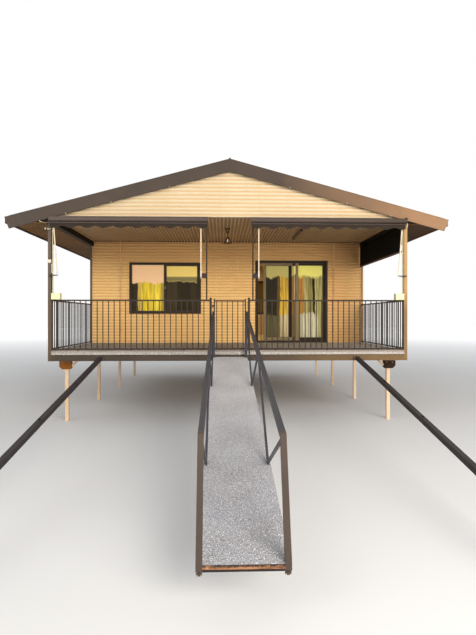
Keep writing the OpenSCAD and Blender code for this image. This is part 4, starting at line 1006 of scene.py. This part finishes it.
def dressPosts():
    dark, pale, lids, strips, rods = (bmesh.new() for _ in range(5))
    y = front
    lowest, lower, upper, highest = fitting["heights"]
    for z0, z1, bm in ((upper, highest, dark), (lower, upper, strips), (lowest, lower, dark)):
        block(bm, (-postInner, y + 0.006, z0), (-postInner + 0.018, y + 0.03, z1), 0.002)
    block(strips, (postInner - 0.03, y + 0.004, lower), (postInner - 0.012, y + 0.03, upper), 0.002)
    block(dark, (postInner - 0.014, y + 0.008, 3.0), (postInner + 0.001, y + 0.022, 3.15), 0.002)
    block(pale, (-postInner - 0.078, y - 0.014, 3.178), (-postInner + 0.004, y + 0.002, 3.242), 0.004, 2)
    for dx, z in fitting["feeds"]:
        x = -postInner - dx
        rod(pale, (x, y - 0.022, z), (x, y + 0.002, z), 0.015, 18)
        rod(dark, (x, y - 0.0235, z), (x, y, z), 0.006, 14)
    block(dark, (-postInner - 0.112, y - 0.006, 3.806), (-postInner + 0.002, y + 0.002, 3.815), 0.001)
    block(pale, (halfWidth - 0.012, y - 0.012, 3.9), (halfWidth + 0.008, y + 0.01, 3.985), 0.003, 2)
    block(dark, (postInner - 0.02, y - 0.108, 4.036), (postInner + 0.032, y - 0.1, 4.066), 0.002)
    z = floor + rail["height"]
    for side in (-1, 1):                       # lids and screws of the control boxes
        a, b = sorted(side * (postInner - offset) for offset in fitting["box"])
        block(lids, (a + 0.006, y - 0.049, z + 0.006), (b - 0.006, y - 0.0455, z + 0.114), 0.0015)
        block(lids, (a - 0.002, y - 0.048, z + 0.116), (b + 0.002, y + 0.046, z + 0.1225), 0.001)
        for dx in (0.015, 0.155):
            for dz in (0.015, 0.105):
                hexHead(lids, (a + dx, y - 0.049, z + dz), (0, -1, 0), 0.003, 0.005, 0.003)
        x = side * (postInner - fitting["rod"])
        rod(rods, (x, y - 0.038, z + 0.121), (x, y - 0.038, low("awning_cassettes").z + 0.01), 0.011)
        for rise in fitting["rings"]:
            rod(pale, (x, y - 0.038, z + rise), (x, y - 0.038, z + rise + 0.016), 0.0125)
    finishPiece(dark, "postStraps", "blackRubber")
    finishPiece(pale, "postFittings", "ivoryPlastic")
    finishPiece(lids, "controlLids", "lidPlastic")
    finishPiece(strips, "postStrips", "stripPaint")
    finishPiece(rods, "controlRods", "rodPaint")


# white cable between the left barge board's lower edge and the post
feedCable = {"x": -3.62, "bendX": -3.575, "sag": 0.035, "radius": 0.0065, "points": 25}


def hangCable():
    c, face = feedCable, low("barge_boards").y
    start = Vector((c["x"], face + 0.012, roofTop(c["x"]) - barge["depth"] - 0.002))
    end = Vector((-halfWidth + 0.006, front + 0.006, start.z - 0.012))
    bend = Vector((c["bendX"], face + 0.03, start.z - c["sag"]))
    steps = [i / (c["points"] - 1) for i in range(c["points"])]
    points = [start * (1 - t) ** 2 + bend * 2 * t * (1 - t) + end * t * t for t in steps]
    curve = bpy.data.curves.new("feedCable", "CURVE")
    curve.dimensions = "3D"
    curve.bevel_depth, curve.bevel_resolution, curve.use_fill_caps = c["radius"], 5, True
    line = curve.splines.new("POLY")
    line.points.add(len(points) - 1)
    for point, place in zip(line.points, points):
        point.co = (*place, 1)
    curve.materials.append(finishes["whiteMetal"])
    cable = addObject("feedCable", curve)
    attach(cable, "house")


# ceiling: edge trims beside the roll boxes, and dark blocks of painted shade in the rib ends along the wall
ceilingTrim = {"inset": 0.03, "width": 0.012, "shadeTooth": 0.021}


def trimCeiling():
    trims, shadeTeeth = bmesh.new(), bmesh.new()
    reach, half = postInner - ceilingTrim["inset"], ceilingTrim["shadeTooth"]
    z = ceiling - house["lining"]
    for side in (-1, 1):
        block(trims, (side * reach, front + 0.1, z - 0.014),
              (side * (reach - ceilingTrim["width"]), wall - 0.024, z + 0.002), 0.002)
    finishPiece(trims, "ceilingTrims", "trimBeige")
    # dark blocks between the ribs stand in for the shade in the rib ends
    pitch = house["wave"]
    ribs = math.floor(2 * postInner / pitch)
    for i in range(ribs - 1):
        x = (i + 0.5 - (ribs - 1) / 2) * pitch
        if abs(x) < reach - 0.05:
            block(shadeTeeth, (x - half, wall - 0.03, z - 0.012), (x + half, wall - 0.018, z + 0.014))
    finishPiece(shadeTeeth, "ribShadeTeeth", "blackRubber")


# wall conduits: screws in their clips
conduit = {"inset": 0.023, "clips": 5, "half": 0.018, "screw": (0.004, 0.007, 0.004)}


def clipConduits():
    screws = bmesh.new()
    first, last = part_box("wall_conduits")
    for x in (first.x + conduit["inset"], last.x - conduit["inset"]):
        for i in range(conduit["clips"]):
            z = floor + (i + 0.6) * (last.z - floor) / conduit["clips"] + 0.012
            for dx in (-conduit["half"], conduit["half"]):
                hexHead(screws, (x + dx, first.y, z), (0, -1, 0), *conduit["screw"])
    finishPiece(screws, "conduitScrews", "blackRubber")


# the floor's joint and nosing, and the rim's bolts
floorEdge = {"joint": (-0.007, 0.004), "proud": 0.0015, "nosing": (-0.03, 0.0025), "spacing": 0.58,
             "bolt": (0.006, 0.01, 0.007), "cornerBolt": (0.009, 0.014, 0.011)}


def dressFloor():
    joint, nosing, bolts = bmesh.new(), bmesh.new(), bmesh.new()
    z0, z1 = (high("floor_frame").z + rise for rise in floorEdge["joint"])
    proud, rim = floorEdge["proud"], house["rim"]
    block(joint, (-postInner, front - proud, z0), (postInner, front + 0.01, z1))
    for side in (-1, 1):
        block(joint, (side * (halfWidth + proud), front + post, z0), (side * (halfWidth - 0.01), wall, z1))
    z0, z1 = (floor + rise for rise in floorEdge["nosing"])
    block(nosing, (-postInner, front - 0.003, z0), (postInner, front + 0.012, z1), 0.002)
    for side in (-1, 1):
        for z in (rim + 0.03, rim + 0.085):
            hexHead(bolts, (side * (halfWidth - post / 2), front, z), (0, -1, 0), *floorEdge["cornerBolt"])
            hexHead(bolts, (side * halfWidth, front + post / 2, z), (side, 0, 0), *floorEdge["cornerBolt"])
    for x in spread(-halfWidth + 0.3, halfWidth - 0.3, floorEdge["spacing"]):
        hexHead(bolts, (x, front, rim + 0.03), (0, -1, 0), *floorEdge["bolt"])
    finishPiece(joint, "floorJoint", "blackRubber")
    finishPiece(nosing, "floorNosing", "nosingPaint")
    finishPiece(bolts, "rimBolts", "darkSteel")


# balustrades: shoes at the rails' ends, feet under the lower rail, base plates of the gate posts
def dressRails():
    bm = bmesh.new()
    gateY, foot = front + post / 2, rail["foot"]
    half, length = rail["shoe"]
    start, end = rail["way"] + rail["gatePost"], postInner
    for side in (-1, 1):
        for z in (floor + rail["gap"] + 0.014, floor + rail["height"] - 0.014):
            for x, inward in ((start, 1), (end, -1)):
                block(bm, (side * x, gateY - half, z - half),
                      (side * (x + inward * length), gateY + half, z + half), 0.002)
            for y, inward in ((front + post, 1), (wall - 0.052, -1)):
                x = side * (halfWidth - post / 2)
                block(bm, (x - half, y, z - half), (x + half, y + inward * length, z + half), 0.002)
        for x in spread(start + 0.5, end - 0.5, 1.0):
            block(bm, (side * x - foot, gateY - foot, floor),
                  (side * x + foot, gateY + foot, floor + rail["gap"]), 0.002)
            rod(bm, (side * x, gateY, floor), (side * x, gateY, floor + 0.004), 0.026, 20)
    half, thick = rail["plate"]
    for side in (-1, 1):
        x = side * (rail["way"] + rail["gatePost"] / 2)
        block(bm, (x - half, gateY - half, floor), (x + half, gateY + half, floor + thick), 0.002)
        for dx in (-rail["bolt"], rail["bolt"]):
            for dy in (-rail["bolt"], rail["bolt"]):
                hexHead(bm, (x + dx, gateY + dy, floor + thick), (0, 0, 1), 0.005, 0.007)
    finishPiece(bm, "railFittings", "picketPaint")


# gate: latch plate, knob and bar
latch = {"inset": 0.0125, "below": 0.12}


def dressGate():
    bm = bmesh.new()
    x, z = high("gate").x - latch["inset"], high("gate").z - latch["below"]
    y = (low("gate_posts").y + high("gate_posts").y) / 2
    block(bm, (x - 0.012, y + 0.0125, z - 0.035), (x + 0.012, y + 0.024, z + 0.035), 0.003, 2)
    rod(bm, (x, y + 0.024, z), (x, y + 0.034, z), 0.009, 20)
    block(bm, (x - 0.07, y + 0.03, z - 0.006), (x + 0.01, y + 0.038, z + 0.006), 0.003, 2)
    finishPiece(bm, "gateLatch", "zincBolt", "gate")


dressStilts()
dressPosts()
hangCable()
trimCeiling()
clipConduits()
dressFloor()
dressRails()
dressGate()
print("verandah dressed")

# gangway: edge strips, welds at the handrails' feet and the end bar
gangway = {"start": front - 0.064, "height": floor - 0.12, "slope": math.radians(9), "half": 0.333, "tube": 0.046,
           "run": 5.95, "feet": (1.85, 4.45), "strip": (-0.024, -0.002, 0.0025), "bead": 0.0035}


def deckFace(y):
    return gangway["height"] + (y - gangway["start"]) * math.tan(gangway["slope"])


def dressGangway():
    edges, welds, bar = bmesh.new(), bmesh.new(), bmesh.new()
    g = gangway
    end, half = g["start"] - g["run"], g["half"]
    z0, z1, thick = g["strip"]
    for side in (-1, 1):
        block(edges, (side * half, end + 0.05, z0), (side * (half + thick), g["start"] - 0.03, z1), 0.0008)
    for v in edges.verts:
        v.co.z += deckFace(v.co.y)

    def bead(x0, y0, x1, y1):
        rod(welds, (x0, y0, deckFace(y0) + 0.0015), (x1, y1, deckFace(y1) + 0.0015), g["bead"], 8)

    for side in (-1, 1):
        x = side * (half - g["tube"] / 2)
        for foot in g["feet"]:
            y = g["start"] - foot
            bead(x - 0.014, y - 0.026, x + 0.014, y - 0.026)
            bead(x - 0.014, y + 0.026, x + 0.014, y + 0.026)
            bead(x, y - 0.026, x, y + 0.026)
    y, z = end - 0.0105, deckFace(end)
    block(bar, (-half + g["tube"], y, z - 0.046), (half - g["tube"], y + 0.004, z - 0.031), 0.0012)
    finishPiece(edges, "gangwayEdges", "nosingPaint", "gangway")
    finishPiece(welds, "gangwayWelds", "rampPaint", "gangway")
    finishPiece(bar, "gangwayEndBar", "armSteel", "gangway")


# nuts on the hinge pins, and end plates and small lugs of the mooring arms
hinge = {"y": front - 0.052, "gangway": (floor - 0.187, 0.349, 0.271), "mooring": (floor - 0.148, 2.529, 2.431)}
mooring = {"x": 2.48, "half": 0.033, "slope": 10.2, "run": 6.0, "plate": (0.003, 0.004),
           "ends": 0.075, "lugs": (-1.6, -3.1, -4.6)}


def dressHinges():
    nuts = bmesh.new()
    for side in (-1, 1):
        for z, outer, inner in (hinge["gangway"], hinge["mooring"]):
            for x, out in ((outer, 1), (inner, -1)):
                hexHead(nuts, (side * x, hinge["y"], z), (side * out, 0, 0), 0.012, 0.017, 0.01)
    finishPiece(nuts, "hingeNuts", "zincBolt")


def dressMooring(side, name):
    bm = bmesh.new()
    half, (lip, thick) = mooring["half"], mooring["plate"]
    reach, length = half + lip, mooring["run"] / math.cos(math.radians(mooring["slope"]))
    place = placed((side * mooring["x"], hinge["y"], hinge["mooring"][0]), mooring["slope"], "X")
    for y in (-mooring["ends"], mooring["ends"] - length):
        block(bm, (-reach, y - thick, -reach), (reach, y + thick, reach), 0.001, place=place)
    for y in mooring["lugs"]:
        block(bm, (-0.004, y - 0.02, half), (0.004, y + 0.02, half + 0.022), 0.0015, place=place)
        rod(bm, (-0.006, y, half + 0.001), (0.006, y, half + 0.001), 0.004, 10, place=place)
    finishPiece(bm, "mooringPlates" + name, "armSteel", "mooring_arm_" + name.lower())


dressGangway()
dressHinges()
dressMooring(-1, "Left")
dressMooring(1, "Right")
print("gangway dressed")

print("pieces finished")
